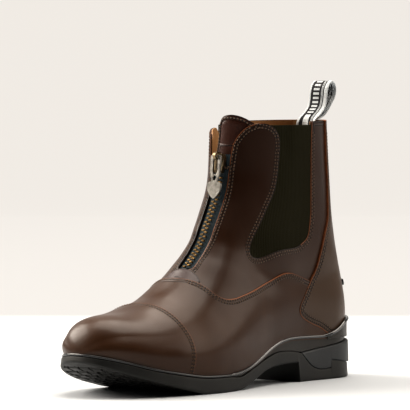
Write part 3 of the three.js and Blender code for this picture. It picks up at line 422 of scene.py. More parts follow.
SOFT_SHARE = 0.018
SOFT_ALONG = 4.5
SOFT_UP = 4.0
plan_middle = soft_curve(PLAN["along"], PLAN["middle"] * HALF_BALL, SOFT_SHARE)
plan_half = soft_curve(PLAN["along"], PLAN["heel"] * HALF_HEEL + PLAN["ball"] * HALF_BALL, SOFT_SHARE)
feather = soft_curve(
    along(FEATHER),
    FEATHER["seat"] * SEAT_HEIGHT + FEATHER["fore"] * FORE_THICKNESS + FEATHER["spring"] * TOE_SPRING,
    SOFT_ALONG,
)
arch_line = curve_through(along(UNDERSIDE), UNDERSIDE["arch"] * ARCH_RISE + UNDERSIDE["spring"] * TOE_SPRING)
ridge = soft_curve(along(RIDGE), RIDGE["instep"] * INSTEP_HEIGHT + RIDGE["box"] * TOE_BOX_HEIGHT, SOFT_ALONG)
fullness = soft_curve(along(FULLNESS), FULLNESS["power"], SOFT_ALONG)
ridge_middle = soft_curve(along(FULLNESS), FULLNESS["ridge"] * HALF_BALL, SOFT_ALONG)
back_line = soft_curve(up(BACK), BACK["set"] * BACK_LEAN, SOFT_UP)
shaft_front = soft_curve(up(SHAFT), BACK_LEAN + SHAFT["front"] * COLLAR_LENGTH, SOFT_UP)
shaft_half = soft_curve(up(SHAFT), SHAFT["half"] * HALF_COLLAR, SOFT_UP)
shaft_rear = soft_curve(up(SHAFT), SHAFT["rear"] * COLLAR_LENGTH, SOFT_UP)
shaft_fore = soft_curve(up(SHAFT), SHAFT["fore"] * COLLAR_LENGTH, SOFT_UP)


def clamp(value, low=0.0, high=1.0):
    """The value, or the bound that it passes."""
    return np.clip(value, low, high)


def mix(start, end, share):
    """A straight line from start to end: start plus the share of what lies between."""
    return start + (end - start) * share


def ease(share):
    """0 to 1 with level ends: the share squared times three less twice the share."""
    share = clamp(share)
    return share * share * (3 - 2 * share)


def plan_ends(share):
    """Share of the half width left by the rounded ends: the root of one less the squared distance into the
    heel's rounding, times a superellipse of the distance into the toe's."""
    heel = clamp(1 - share / HEEL_ROUND)
    toe = clamp((share - (1 - TOE_ROUND)) / TOE_ROUND)
    return np.sqrt(1 - heel**2) * (1 - toe**TOE_POWER) ** (1 / TOE_POWER)


def foot_share(x):
    """Place along the foot: 0 at the heel's ledge, 1 at the toe's, in a straight line."""
    return (x - HEEL_LEDGE) / (SOLE_LENGTH - HEEL_LEDGE - TOE_LEDGE)


def foot_half(x):
    """Half width of the foot at the sole: the plan's half width less the ledge, times the rounded ends."""
    share = clamp(foot_share(x))
    ledge = mix(REAR_LEDGE, SIDE_LEDGE, ease((share - WAIST_FROM) / WAIST_OVER))
    return (plan_half(share) - ledge) * plan_ends(share)


def foot_top(x):
    """Height of the foot's top: from the feather edge to the ridge, the toe closing by a superellipse."""
    share = clamp((x - (SOLE_LENGTH - TOE_LEDGE - TIP_ROUND)) / TIP_ROUND)
    return feather(x) + (ridge(x) - feather(x)) * (1 - share**TIP_FALL) ** (1 / TIP_POWER)


def half_squared(x, z):
    """Square of the last's half width at a place in the side view: the smooth maximum of the foot's dome,
    a superellipse over the sole's plan, and the shaft's level ovals. Below zero it is outside the boot."""
    back = back_line(z)
    fade = clamp(1 - (x - back) / LEAN_FADE) ** LEAN_POWER
    straight = x - (back - back_line(0)) * fade
    rise = np.maximum((z - feather(x)) / np.maximum(foot_top(x) - feather(x), 0.001), 0)
    edge = foot_half(straight)
    bulge = SIDE_BULGE * np.sin(np.pi * clamp(rise / BULGE_SPAN)) ** 1.5 * ease(edge / BULGE_HALF)
    under = 1 - rise ** fullness(x)
    dome = (edge + bulge) ** 2 * np.sign(under) * np.abs(under) ** (2 / SIDE_POWER)
    share = foot_share(straight)
    dome = np.where(share < 0, share * END_STEEP, dome)
    dome = np.where(share > 1, (1 - share) * END_STEEP, dome)
    rear = np.maximum((back + shaft_rear(z) - x) / shaft_rear(z), 0)
    fore = np.maximum((x - shaft_front(z) + shaft_fore(z)) / shaft_fore(z), 0)
    oval = shaft_half(z) ** 2 * (1 - rear**SHAFT_POWER - fore**SHAFT_POWER)
    close = np.maximum(BLEND - np.abs(dome - oval), 0) / BLEND
    return np.maximum(dome, oval) + close**3 * BLEND / 6


def section_middle(x, z):
    """Middle of a section: from the plan's middle at the sole to the ridge's, in a straight line upwards."""
    rise = clamp((z - feather(x)) / np.maximum(foot_top(x) - feather(x), 0.001))
    return mix(plan_middle(clamp(foot_share(x))), ridge_middle(x), rise)


def outward(x, y, z):
    """Unit normals of the last: the falling slope of half_squared less the squared distance to the
    middle, by differences over a short reach to each side, divided by its length."""
    reach = 0.2

    def inside(a, b, c):
        """Above zero inside the last: half_squared less the squared distance to the middle."""
        return half_squared(a, c) - (b - section_middle(a, c)) ** 2

    slope = np.stack(
        [
            inside(x + reach, y, z) - inside(x - reach, y, z),
            inside(x, y + reach, z) - inside(x, y - reach, z),
            inside(x, y, z + reach) - inside(x, y, z - reach),
        ],
        axis=-1,
    )
    return -slope / np.maximum(np.linalg.norm(slope, axis=-1, keepdims=True), 1e-9)


# Creases: each a soft trough with a low swell on either side, along a line in the side view, in mm

CREASES = table(
    "from_x from_z to_x to_z width depth",
    (170, 100, 134, 84, 6.0, 0.40),
    (150, 124, 120, 106, 8.0, 0.35),
    (186, 72, 172, 44, 7.0, 0.22),
    (138, 158, 110, 142, 9.0, 0.30),
    (58, 118, 38, 98, 8.0, 0.35),
)


def crease_depth(x, z):
    """Sum of the creases: the depth times a bell less half a bell twice as wide, fading out at the ends."""
    depth = np.zeros_like(x)
    for from_x, from_z, to_x, to_z, width, deep in zip(*CREASES.values()):
        way_x, way_z = to_x - from_x, to_z - from_z
        length = math.hypot(way_x, way_z)
        share = ((x - from_x) * way_x + (z - from_z) * way_z) / length**2
        off = ((x - from_x) * way_z - (z - from_z) * way_x) / length
        ends = np.exp(-(((share - 0.5) / 0.45) ** 4))
        depth -= deep * ends * (np.exp(-((off / width) ** 2)) - 0.5 * np.exp(-((off / (2 * width)) ** 2)))
    return depth


def creased(points, normals):
    """Places moved along their normals by the creases' depth."""
    return points + normals * crease_depth(points[..., 0], points[..., 2])[..., None]


def on_side(x, z, side):
    """Places and normals on the last's lateral (1) or medial (-1) side at places in the side view."""
    y = section_middle(x, z) + side * np.sqrt(np.maximum(half_squared(x, z), 0))
    normals = outward(x, y, z)
    return creased(np.stack([x, y, z], axis=-1), normals), normals


def on_front(y, z):
    """Places and normals on the last's front at places in the front view, found by halving."""
    within = shaft_front(z) - shaft_fore(z)
    beyond = np.full_like(within, SOLE_LENGTH)
    for _ in range(40):
        middle = (within + beyond) / 2
        inside = half_squared(middle, z) > (y - section_middle(middle, z)) ** 2
        within = np.where(inside, middle, within)
        beyond = np.where(inside, beyond, middle)
    normals = outward(within, y, z)
    return creased(np.stack([within, y, z], axis=-1), normals), normals


def smooth_line(a, b, count):
    """Catmull-Rom curve through a few points, as many dense ones, evenly spaced in the curve's steps."""
    spots = np.stack([a, b], axis=-1)
    spots = np.concatenate([spots[:1], spots, spots[-1:]])
    place = np.linspace(0, len(a) - 1, count)
    i = np.minimum(place.astype(int), len(a) - 2)
    t = (place - i)[:, None]
    before, start, end, after = spots[i], spots[i + 1], spots[i + 2], spots[i + 3]
    lean = (end - before) / 2, (after - start) / 2
    cube = (2 * start - 2 * end + lean[0] + lean[1]) * t**3
    square = (-3 * start + 3 * end - 2 * lean[0] - lean[1]) * t**2
    return cube + square + lean[0] * t + start


def inside_distance(a, b, outline, normal_a, normal_b):
    """Distance from places in a flat view to a closed outline, positive inside it. It is stretched to the
    distance along the surface, whose normals' shares in that view are given."""
    best = np.full(a.shape, 1e9)
    way_a, way_b = np.ones(a.shape), np.zeros(a.shape)
    odd = np.zeros(a.shape, bool)
    ends = np.roll(outline, -1, axis=0)
    for (pa, pb), (qa, qb) in zip(outline, ends):
        da, db = qa - pa, qb - pb
        share = clamp(((a - pa) * da + (b - pb) * db) / max(da * da + db * db, 1e-9))
        off_a, off_b = a - (pa + share * da), b - (pb + share * db)
        square = off_a**2 + off_b**2
        nearer = square < best
        best = np.where(nearer, square, best)
        way_a = np.where(nearer, off_a, way_a)
        way_b = np.where(nearer, off_b, way_b)
        if pb != qb:
            odd ^= ((pb > b) != (qb > b)) & (a < pa + (b - pb) / (qb - pb) * da)
    distance = np.sqrt(best)
    facing = (way_a * normal_a + way_b * normal_b) / np.maximum(distance, 1e-6)
    stretch = np.sqrt(np.maximum(1 - facing**2, 0.08))
    return np.where(odd, distance, -distance) / stretch


# The upper's surface as a grid of rows over the boot, from the lateral edge over the top to the medial

TOE_ROWS = 150
FAN_ROWS = 190
SHAFT_ROWS = 64
HALF_COLUMNS = 150
FORM_TOP = 1.08
FAN_SPOT = np.array([0.6 * SOLE_LENGTH, 0.79 * BOOT_HEIGHT])
SKIRT = 8.0
HEEL_SKIRT = 24.0
SKIRT_FADE = 70.0
SPREAD = 400.0


def skirt_line(x):
    """Lower edge of the upper: the feather line less a drop that fades from the heel forwards."""
    return feather(x) - mix(HEEL_SKIRT, SKIRT, clamp(x / SKIRT_FADE))


def section_lines():
    """Lines in the side view: upright at the toe, then fanning round the ankle, then level."""
    tip = SOLE_LENGTH - TOE_LEDGE
    turn = np.linspace(0.002, np.pi / 2, TOE_ROWS + 1)[:-1]
    x = tip - (tip - FAN_SPOT[0]) * (1 - np.cos(turn))
    toe = np.stack([x, skirt_line(x)], axis=-1), np.tile([0.0, 1.0], (TOE_ROWS, 1))
    angle = -np.pi / 2 * (1 + np.linspace(0, 1, FAN_ROWS))
    fan = np.tile(FAN_SPOT, (FAN_ROWS, 1)), np.stack([np.cos(angle), np.sin(angle)], axis=-1)
    z = np.linspace(FAN_SPOT[1], FORM_TOP * BOOT_HEIGHT, SHAFT_ROWS + 1)[1:]
    shaft = np.stack([np.full_like(z, -12.0), z], axis=-1), np.tile([1.0, 0.0], (SHAFT_ROWS, 1))
    starts = np.concatenate([toe[0], fan[0], shaft[0]])
    ways = np.concatenate([toe[1], fan[1], shaft[1]])
    top_last = np.concatenate([np.ones(TOE_ROWS), np.zeros(FAN_ROWS), np.ones(SHAFT_ROWS)]) > 0
    return starts, ways, top_last


def skin_rows():
    """Each line's stretch inside the last, found by stepping and halving, is sampled, lifted to the
    half width and spaced evenly along the surface."""
    starts, ways, top_last = section_lines()

    def inside(reach):
        """True where a line's place lies above the skirt and within the last."""
        x = starts[:, :1] + ways[:, :1] * reach
        z = starts[:, 1:] + ways[:, 1:] * reach
        return (z >= skirt_line(x) - 1e-9) & (half_squared(x, z) > 0)

    reach = np.tile(np.arange(0.0, SOLE_LENGTH), (len(starts), 1))
    hit = inside(reach)
    first = hit.argmax(1)[:, None].astype(float)
    last = (hit.shape[1] - 1 - hit[:, ::-1].argmax(1))[:, None].astype(float)
    ends = []
    for within, beyond in ((first, np.maximum(first - 1, 0)), (last, last + 1)):
        for _ in range(30):
            middle = (within + beyond) / 2
            good = inside(middle)
            within = np.where(good, middle, within)
            beyond = np.where(good, beyond, middle)
        ends.append(starts + ways * within)
    bottom = np.where(top_last[:, None], ends[0], ends[1])
    top = np.where(top_last[:, None], ends[1], ends[0])
    share = (1 - np.cos(np.linspace(0, np.pi, 320))) / 2
    x = mix(bottom[:, :1], top[:, :1], share)
    z = mix(bottom[:, 1:], top[:, 1:], share)
    half = np.sqrt(np.maximum(half_squared(x, z), 0))
    half[:, -1] = 0
    half[half < 0.05] = 0
    steps = np.sqrt(np.diff(x) ** 2 + np.diff(half) ** 2 + np.diff(z) ** 2)
    length = np.concatenate([np.zeros((len(x), 1)), np.cumsum(steps, axis=1)], axis=1)
    even = np.linspace(0, 1, HALF_COLUMNS + 1)
    rows = []
    for i in range(len(x)):
        wanted = even * length[i, -1]
        rows.append([np.interp(wanted, length[i], line[i]) for line in (x, half, z)])
    x, half, z = np.moveaxis(np.array(rows), 1, 0)
    middle = section_middle(x, z)
    lateral = np.stack([x, middle + half, z], axis=-1)
    medial = np.stack([x, middle - half, z], axis=-1)[:, -2::-1]
    return np.concatenate([lateral, medial], axis=1)


class Sheet:
    """A grid of places and normals, with its triangles, on which pieces are cut out."""

    def __init__(self, points, normals, closed=False):
        """Two triangles for each cell of the grid. A closed one joins its first column to its last."""
        self.shape = points.shape[:2]
        self.points = points.reshape(-1, 3)
        self.normals = normals.reshape(-1, 3)
        rows, columns = self.shape
        index = np.arange(rows * columns).reshape(rows, columns)
        if closed:
            same = np.linalg.norm(points[:, 0] - points[:, -1], axis=-1) < 0.001
            index[:, -1] = np.where(same, index[:, 0], index[:, -1])
        here, below, opposite, beside = cells(index)
        faces = np.stack([here, below, beside, below, opposite, beside], axis=-1).reshape(-1, 3)
        if closed:
            ring = index[0]
            half = columns // 2
            near, far = ring[: half + 1], ring[::-1][: half + 1]
            lids = np.stack([near[:-1], near[1:], far[:-1], near[1:], far[1:], far[:-1]], axis=-1)
            faces = np.concatenate([lids.reshape(-1, 3), faces])
        odd = (faces[:, 0] == faces[:, 1]) | (faces[:, 1] == faces[:, 2]) | (faces[:, 2] == faces[:, 0])
        self.faces = faces[~odd]
        self.x, self.y, self.z = self.points.T

    def side_field(self, outline):
        """Distance inside an outline in the side view."""
        return inside_distance(self.x, self.z, outline, self.normals[:, 0], self.normals[:, 2])

    def front_field(self, outline, back):
        """Distance inside an outline in the front view, for what lies forward of a place."""
        field = inside_distance(self.y, self.z, outline, self.normals[:, 1], self.normals[:, 2])
        return np.where(self.x > back, field, -SPREAD)


def cut_out(rows, faces, keep):
    """Triangles cut along keep = 0: a crossed edge gets a vertex where keep, taken as linear along it, is
    zero, and all the values in rows are mixed there in the same way."""
    keep = np.where(np.abs(keep) < 0.06, 0.0, keep)
    inside = keep[faces] >= 0
    count = inside.sum(1)
    part = (count == 1) | (count == 2)
    hits = inside[part]
    single = hits.sum(1) == 1
    lone = np.where(single, hits.argmax(1), (~hits).argmax(1))
    turned = np.take_along_axis(faces[part], (lone[:, None] + np.arange(3)) % 3, axis=1)
    low = np.minimum(turned[:, :1], turned[:, 1:])
    high = np.maximum(turned[:, :1], turned[:, 1:])
    keys, where = np.unique(low * len(rows) + high, return_inverse=True)
    where = where.reshape(-1, 2) + len(rows)
    start, end = keys // len(rows), keys % len(rows)
    share = (keep[start] / (keep[start] - keep[end]))[:, None]
    added = rows[start] * (1 - share) + rows[end] * share
    first, second = where[:, 0], where[:, 1]
    ones = np.stack([turned[:, 0], first, second], axis=-1)[single]
    pairs_a = np.stack([first, turned[:, 1], turned[:, 2]], axis=-1)[~single]
    pairs_b = np.stack([first, turned[:, 2], second], axis=-1)[~single]
    kept = np.concatenate([faces[count == 3], ones, pairs_a, pairs_b])
    rows = np.concatenate([rows, added])
    used, kept = np.unique(kept, return_inverse=True)
    kept = kept.reshape(-1, 3)
    odd = (kept[:, 0] == kept[:, 1]) | (kept[:, 1] == kept[:, 2]) | (kept[:, 2] == kept[:, 0])
    return rows[used], kept[~odd]


def open_edges(faces):
    """Directed edges of the triangles that have no neighbour."""
    size = faces.max() + 1
    start = faces.ravel()
    end = np.roll(faces, -1, axis=1).ravel()
    lone = ~np.isin(start * size + end, end * size + start)
    return start[lone], end[lone]


# Making pieces


def cells(index):
    """The four corners of every cell of a grid of numbers, in order round it."""
    return index[:-1, :-1], index[1:, :-1], index[1:, 1:], index[:-1, 1:]


def grid_faces(rows, columns, wrap=False):
    """Four-sided faces between neighbouring rows and columns, the last joined to the first if asked."""
    index = np.arange(rows * columns).reshape(rows, columns)
    if wrap:
        index = np.concatenate([index, index[:, :1]], axis=1)
    return np.stack(cells(index), axis=-1).reshape(-1, 4)


def capped(points):
    """A tube's rings with one more at each end, all its places at that end ring's middle."""
    ends = [ring.mean(1, keepdims=True).repeat(points.shape[1], 1) for ring in (points[:1], points[-1:])]
    return np.concatenate([ends[0], points, ends[1]])


def unit(ways):
    """Vectors divided by their lengths."""
    return ways / np.maximum(np.linalg.norm(ways, axis=-1, keepdims=True), 1e-9)


def directions(path):
    """Unit ways along a path, from the places before and after."""
    return unit(np.gradient(path, axis=0))


def lengths(path):
    """Length run along a path up to each of its places."""
    return np.concatenate([[0], np.cumsum(np.linalg.norm(np.diff(path, axis=0), axis=1))])


def placed(wanted, reach, values):
    """Values at the wanted lengths along a path, taken as linear between its places."""
    return np.stack([np.interp(wanted, reach, column) for column in values.T], axis=-1)


def finished(name, points, faces, materials, body="boot", replaces=(), uv=None, values=None,
             sharp=48, which=None):
    """A mesh piece from places in millimetres, riding on its body, with its values stored on its vertices."""
    places = (points + np.array([ORIGIN_X, 0, 0])) * MM
    mesh = bpy.data.meshes.new(name)
    mesh.vertices.add(len(places))
    mesh.vertices.foreach_set("co", places.ravel())
    corners = faces.shape[1]
    mesh.loops.add(faces.size)
    mesh.loops.foreach_set("vertex_index", faces.ravel().astype(np.int32))
    mesh.polygons.add(len(faces))
    mesh.polygons.foreach_set("loop_start", np.arange(0, faces.size, corners, dtype=np.int32))
    mesh.update(calc_edges=True)
    for key, value in (values or {}).items():
        layer = mesh.attributes.new(key, "FLOAT", "POINT")
        layer.data.foreach_set("value", np.ascontiguousarray(value, dtype=np.float32))
    if uv is not None:
        layer = mesh.uv_layers.new(name="UVMap")
        layer.data.foreach_set("uv", uv[faces.ravel()].astype(np.float32).ravel())
    for material in materials:
        mesh.materials.append(material)
    if which is not None:
        mesh.polygons.foreach_set("material_index", which.astype(np.int32))
    mesh.polygons.foreach_set("use_smooth", np.ones(len(faces), bool))
    mesh.set_sharp_from_angle(angle=math.radians(sharp))
    mesh.validate()
    piece = bpy.data.objects.new(name, mesh)
    bpy.context.scene.collection.objects.link(piece)
    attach(piece, body)
    if replaces:
        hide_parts(*replaces)
    return piece


def cut_piece(name, sheet, lift, keep, thickness, materials, replaces, edge=None, raw=None,
              inner=False, rounding=0.35, flip=False, sharp=48):
    """A leather or cloth panel: the sheet lifted along its normals and cut where keep is below zero, with
    its edge eased over a millimetre and turned down by the thickness, and its inner face if asked."""
    eased = lift - rounding * (1 - ease(keep / 1.1))
    outer = sheet.points + sheet.normals * eased[:, None]
    edge = keep if edge is None else edge
    raw = np.zeros(len(keep)) if raw is None else raw
    rows = np.column_stack([outer, sheet.normals, edge, raw])
    rows, faces = cut_out(rows, sheet.faces, keep)
    start, end = open_edges(faces)
    rim, where = np.unique(np.concatenate([start, end]), return_inverse=True)
    low = rows.copy()
    low[:, :3] -= low[:, 3:6] * thickness
    if inner:
        base = len(rows)
        rows = np.concatenate([rows, low])
        low_start, low_end = start + base, end + base
        under = faces[:, ::-1] + base
    else:
        base = len(rows)
        rows = np.concatenate([rows, low[rim]])
        low_start, low_end = np.split(where + base, 2)
        under = np.zeros((0, 3), int)
    walls = np.concatenate([
        np.stack([end, start, low_start], axis=-1),
        np.stack([end, low_start, low_end], axis=-1),
    ])
    is_raw = rows[walls][:, :, 7].mean(1) > 0.5
    which = np.concatenate([np.zeros(len(faces)), np.where(is_raw, 1, 0), np.zeros(len(under))])
    every = np.concatenate([faces, walls, under])
    if flip:
        every = every[:, ::-1]
    return finished(name, rows[:, :3], every, materials, replaces=replaces,
                    values={"edge": rows[:, 6], "raw": rows[:, 7]}, which=which, sharp=sharp)


def with_uv(piece, axes):
    """Gives a piece a UV map of its places along two axes, in millimetres."""
    mesh = piece.data
    places = np.empty(len(mesh.vertices) * 3, np.float32)
    mesh.vertices.foreach_get("co", places)
    corners = np.empty(len(mesh.loops), np.int32)
    mesh.loops.foreach_get("vertex_index", corners)
    layer = mesh.uv_layers.new(name="UVMap")
    layer.data.foreach_set("uv", (places.reshape(-1, 3) / MM)[corners][:, axes].ravel())


# Shader nodes


def node(tree, kind, settings=None, **links):
    """A shader node with its settings, and its inputs, by name, set to a value or linked to a socket."""
    made = tree.nodes.new(kind)
    for key, value in (settings or {}).items():
        setattr(made, key, value)
    for key, value in links.items():
        socket = made.inputs[int(key[1:])] if key[0] == "_" else made.inputs[key.replace("_", " ")]
        if isinstance(value, bpy.types.NodeSocket):
            tree.links.new(value, socket)
        else:
            socket.default_value = value
    return made


def math_node(tree, operation, a, b=0.0, clamped=False):
    """Output of one sum, product or other operation."""
    return node(tree, "ShaderNodeMath", {"operation": operation, "use_clamp": clamped}, _0=a, _1=b).outputs[0]


def map_range(tree, value, low, high, out_low=0.0, out_high=1.0):
    """Output that eases from one value to the other while the input goes from low to high."""
    made = node(tree, "ShaderNodeMapRange", {"interpolation_type": "SMOOTHSTEP"}, _0=value, _1=low, _2=high)
    made.inputs[3].default_value = out_low
    made.inputs[4].default_value = out_high
    return made.outputs[0]


def mix_colour(tree, share, first, second, blend="MIX"):
    """Output between two colours: the first plus the share of what lies between."""
    made = tree.nodes.new("ShaderNodeMix")
    made.data_type = "RGBA"
    made.blend_type = blend
    for socket, value in ((made.inputs[0], share), (made.inputs[6], first), (made.inputs[7], second)):
        if isinstance(value, bpy.types.NodeSocket):
            tree.links.new(value, socket)
        else:
            socket.default_value = value
    return made.outputs[2]


def new_group(name, inputs, outputs):
    """An empty node group with named inputs, each with its value, and named outputs."""
    tree = bpy.data.node_groups.new(name, "ShaderNodeTree")
    for key, value in inputs.items():
        kind = "NodeSocketVector" if value is None else "NodeSocketFloat"
        socket = tree.interface.new_socket(name=key, in_out="INPUT", socket_type=kind)
        if value is not None:
            socket.default_value = value
    for key in outputs:
        tree.interface.new_socket(name=key, in_out="OUTPUT", socket_type="NodeSocketFloat")
    return tree, tree.nodes.new("NodeGroupInput").outputs, tree.nodes.new("NodeGroupOutput").inputs


def use_group(tree, group, **inputs):
    """Outputs of a node group, its inputs, by name, set or linked."""
    made = tree.nodes.new("ShaderNodeGroup")
    made.node_tree = group
    for key, value in inputs.items():
        socket = made.inputs[key.replace("_", " ")]
        if isinstance(value, bpy.types.NodeSocket):
            tree.links.new(value, socket)
        else:
            socket.default_value = value
    return made.outputs


def grain_group():
    """Full-grain leather: rounded cells between fine furrows, with a slow change of their depth."""
    tree, given, out = new_group("leather grain", {"Place": None, "Cell": 0.9}, ["Height", "Tone"])
    scale = math_node(tree, "DIVIDE", 1000.0, given["Cell"])
    cells = node(tree, "ShaderNodeTexVoronoi", {"feature": "SMOOTH_F1"}, Vector=given["Place"], Scale=scale,
                 Smoothness=0.6)
    finer = math_node(tree, "MULTIPLY", scale, 2.3)
    fine = node(tree, "ShaderNodeTexNoise", Vector=given["Place"], Scale=finer, Detail=3.0)
    slow = node(tree, "ShaderNodeTexNoise", Vector=given["Place"], Scale=38.0, Detail=2.0)
    depth = map_range(tree, slow.outputs[0], 0.35, 0.65, 0.35, 1.0)
    cell = math_node(tree, "MULTIPLY", cells.outputs["Distance"], -1.0)
    height = math_node(tree, "ADD", cell, math_node(tree, "MULTIPLY", fine.outputs[0], 0.6))
    tree.links.new(math_node(tree, "MULTIPLY", height, depth), out["Height"])
    tree.links.new(slow.outputs[0], out["Tone"])
    return tree


def rows_group():
    """Troughs that rows of stitches press into the leather at two distances from its edge, in mm. Its Shade
    output is painted shade: darkest in the troughs and over the last 1.3 mm of the edge.
    """
    tree, given, out = new_group("stitch rows", {"Edge": 0.0, "First": 1.7, "Second": 4.0, "Width": 0.95},
                                 ["Height", "Shade"])
    troughs = []
    for key in ("First", "Second"):
        off = math_node(tree, "ABSOLUTE", math_node(tree, "SUBTRACT", given["Edge"], given[key]))
        share = math_node(tree, "DIVIDE", off, given["Width"])
        troughs.append(map_range(tree, share, 0.0, 1.0, 1.0, 0.0))
    both = math_node(tree, "MAXIMUM", *troughs)
    tree.links.new(math_node(tree, "MULTIPLY", both, -1.0), out["Height"])
    rim = map_range(tree, given["Edge"], 0.0, 1.3, 1.0, 0.0)
    tree.links.new(math_node(tree, "MAXIMUM", both, rim), out["Shade"])
    return tree


def weave_group():
    """Woven cloth: two sets of crossing ribs, over and under, from a place in millimetres."""
    tree, given, out = new_group("weave", {"Place": None, "Across": 0.5, "Along": 0.8}, ["Height", "Shade"])
    apart = node(tree, "ShaderNodeSeparateXYZ", Vector=given["Place"]).outputs
    waves = []
    for axis, key in ((0, "Across"), (1, "Along")):
        turns = math_node(tree, "MULTIPLY", math_node(tree, "DIVIDE", apart[axis], given[key]), 2 * math.pi)
        waves.append(math_node(tree, "SINE", turns))
    product = math_node(tree, "MULTIPLY", *waves)
    tree.links.new(product, out["Height"])
    tree.links.new(map_range(tree, product, -1.0, 1.0), out["Shade"])
    return tree


GRAIN = grain_group()
ROWS = rows_group()
WEAVE = weave_group()


def new_material(name, **plain):
    """A material's tree, its shader with plain values on its own sockets, and its Object coordinates."""
    material = bpy.data.materials.new(name)
    material.use_nodes = True
    tree = material.node_tree
    shader = tree.nodes["Principled BSDF"]
    for key, value in plain.items():
        shader.inputs[key.replace("_", " ")].default_value = value
    place = tree.nodes.new("ShaderNodeTexCoord").outputs["Object"]
    return material, tree, shader, place


def bump(tree, shader, height, distance, strength=1.0):
    """Tilts the shader's normal by the slope of a height that is worth the distance in metres."""
    made = node(tree, "ShaderNodeBump", Height=height, Distance=distance, Strength=strength)
    tree.links.new(made.outputs[0], shader.inputs["Normal"])


def leather(name, dark, warm, rows=(1.5, 3.6), low=(0.34, 0.46)):
    """Waxed brown leather: slow patches of a warmer tone, with painted shade darkening it in the stitch
    troughs and along its edge, where it is also duller.
    """
    material, tree, shader, place = new_material(
        name, Coat_Weight=0.1, Coat_Roughness=0.2, Specular_IOR_Level=0.2
    )
    grain = use_group(tree, GRAIN, Place=place, Cell=0.75)
    edge = node(tree, "ShaderNodeAttribute", {"attribute_name": "edge"}).outputs["Fac"]
    seam = use_group(tree, ROWS, Edge=edge, First=rows[0], Second=rows[1])
    patches = node(tree, "ShaderNodeTexNoise", Vector=place, Scale=21.0, Detail=4.0, Roughness=0.6)
    height = node(tree, "ShaderNodeSeparateXYZ", Vector=place).outputs[2]
    # The warmer tone is strongest low on the boot and fades out between 45 and 135 mm up
    low_warmth = map_range(tree, height, 0.045, 0.135, 1.0, 0.12)
    patch = math_node(tree, "MULTIPLY", map_range(tree, patches.outputs[0], 0.3, 0.66, 0.55, 1.0), low_warmth)
    tone = mix_colour(tree, patch, dark, warm)
    # Painted shade: the colour is drawn towards near-black in the stitch troughs and along the panel's edge
    shade = math_node(tree, "MULTIPLY", seam["Shade"], 0.8)
    painted_shade_tone = mix_colour(tree, shade, tone, (0.004, 0.0015, 0.0008, 1))
    raw = node(tree, "ShaderNodeAttribute", {"attribute_name": "raw"}).outputs["Fac"]
    lip = math_node(tree, "MULTIPLY", raw, map_range(tree, edge, 0.35, 0.9, 1.0, 0.0))
    tree.links.new(mix_colour(tree, lip, painted_shade_tone, RAW_TONE), shader.inputs["Base Color"])
    dull = map_range(tree, grain["Tone"], 0.3, 0.7, low[0], low[1])
    rough = math_node(tree, "ADD", dull, math_node(tree, "MULTIPLY", shade, 0.2))
    tree.links.new(rough, shader.inputs["Roughness"])
    fine = math_node(tree, "MULTIPLY", grain["Height"], 0.22)
    bump(tree, shader, math_node(tree, "ADD", fine, seam["Height"]), 0.00022)
    return material


def plain_finish(name, low, high, roughness, scale=60.0, depth=0.00005, **plain):
    """One colour that varies a little between two tones, with a fine uneven surface."""
    material, tree, shader, place = new_material(name, **plain)
    noise = node(tree, "ShaderNodeTexNoise", Vector=place, Scale=scale, Detail=5.0, Roughness=0.6)
    tone = map_range(tree, noise.outputs[0], 0.3, 0.7)
    tree.links.new(mix_colour(tree, tone, low, high), shader.inputs["Base Color"])
    tree.links.new(map_range(tree, noise.outputs[0], 0.3, 0.7, *roughness), shader.inputs["Roughness"])
    speck = node(tree, "ShaderNodeTexNoise", Vector=place, Scale=scale * 22, Detail=3.0)
    bump(tree, shader, speck.outputs[0], depth)
    return material


def woven(name, low, high, across, along_, roughness=0.85, depth=0.00015):
    """Cloth whose weave follows the piece's own UV map, in millimetres."""
    material, tree, shader, _ = new_material(name, Roughness=roughness, Specular_IOR_Level=0.15)
    place = node(tree, "ShaderNodeUVMap", {"uv_map": "UVMap"}).outputs[0]
    weave = use_group(tree, WEAVE, Place=place, Across=across, Along=along_)
    tree.links.new(mix_colour(tree, weave["Shade"], low, high), shader.inputs["Base Color"])
    bump(tree, shader, weave["Height"], depth)
    return material


def stripe(tree, value, low, high, soft=0.12):
    """1 between two places, 0 outside."""
    start = map_range(tree, value, low - soft, low + soft)
    end = map_range(tree, value, high - soft, high + soft, 1.0, 0.0)
    return math_node(tree, "MULTIPLY", start, end)


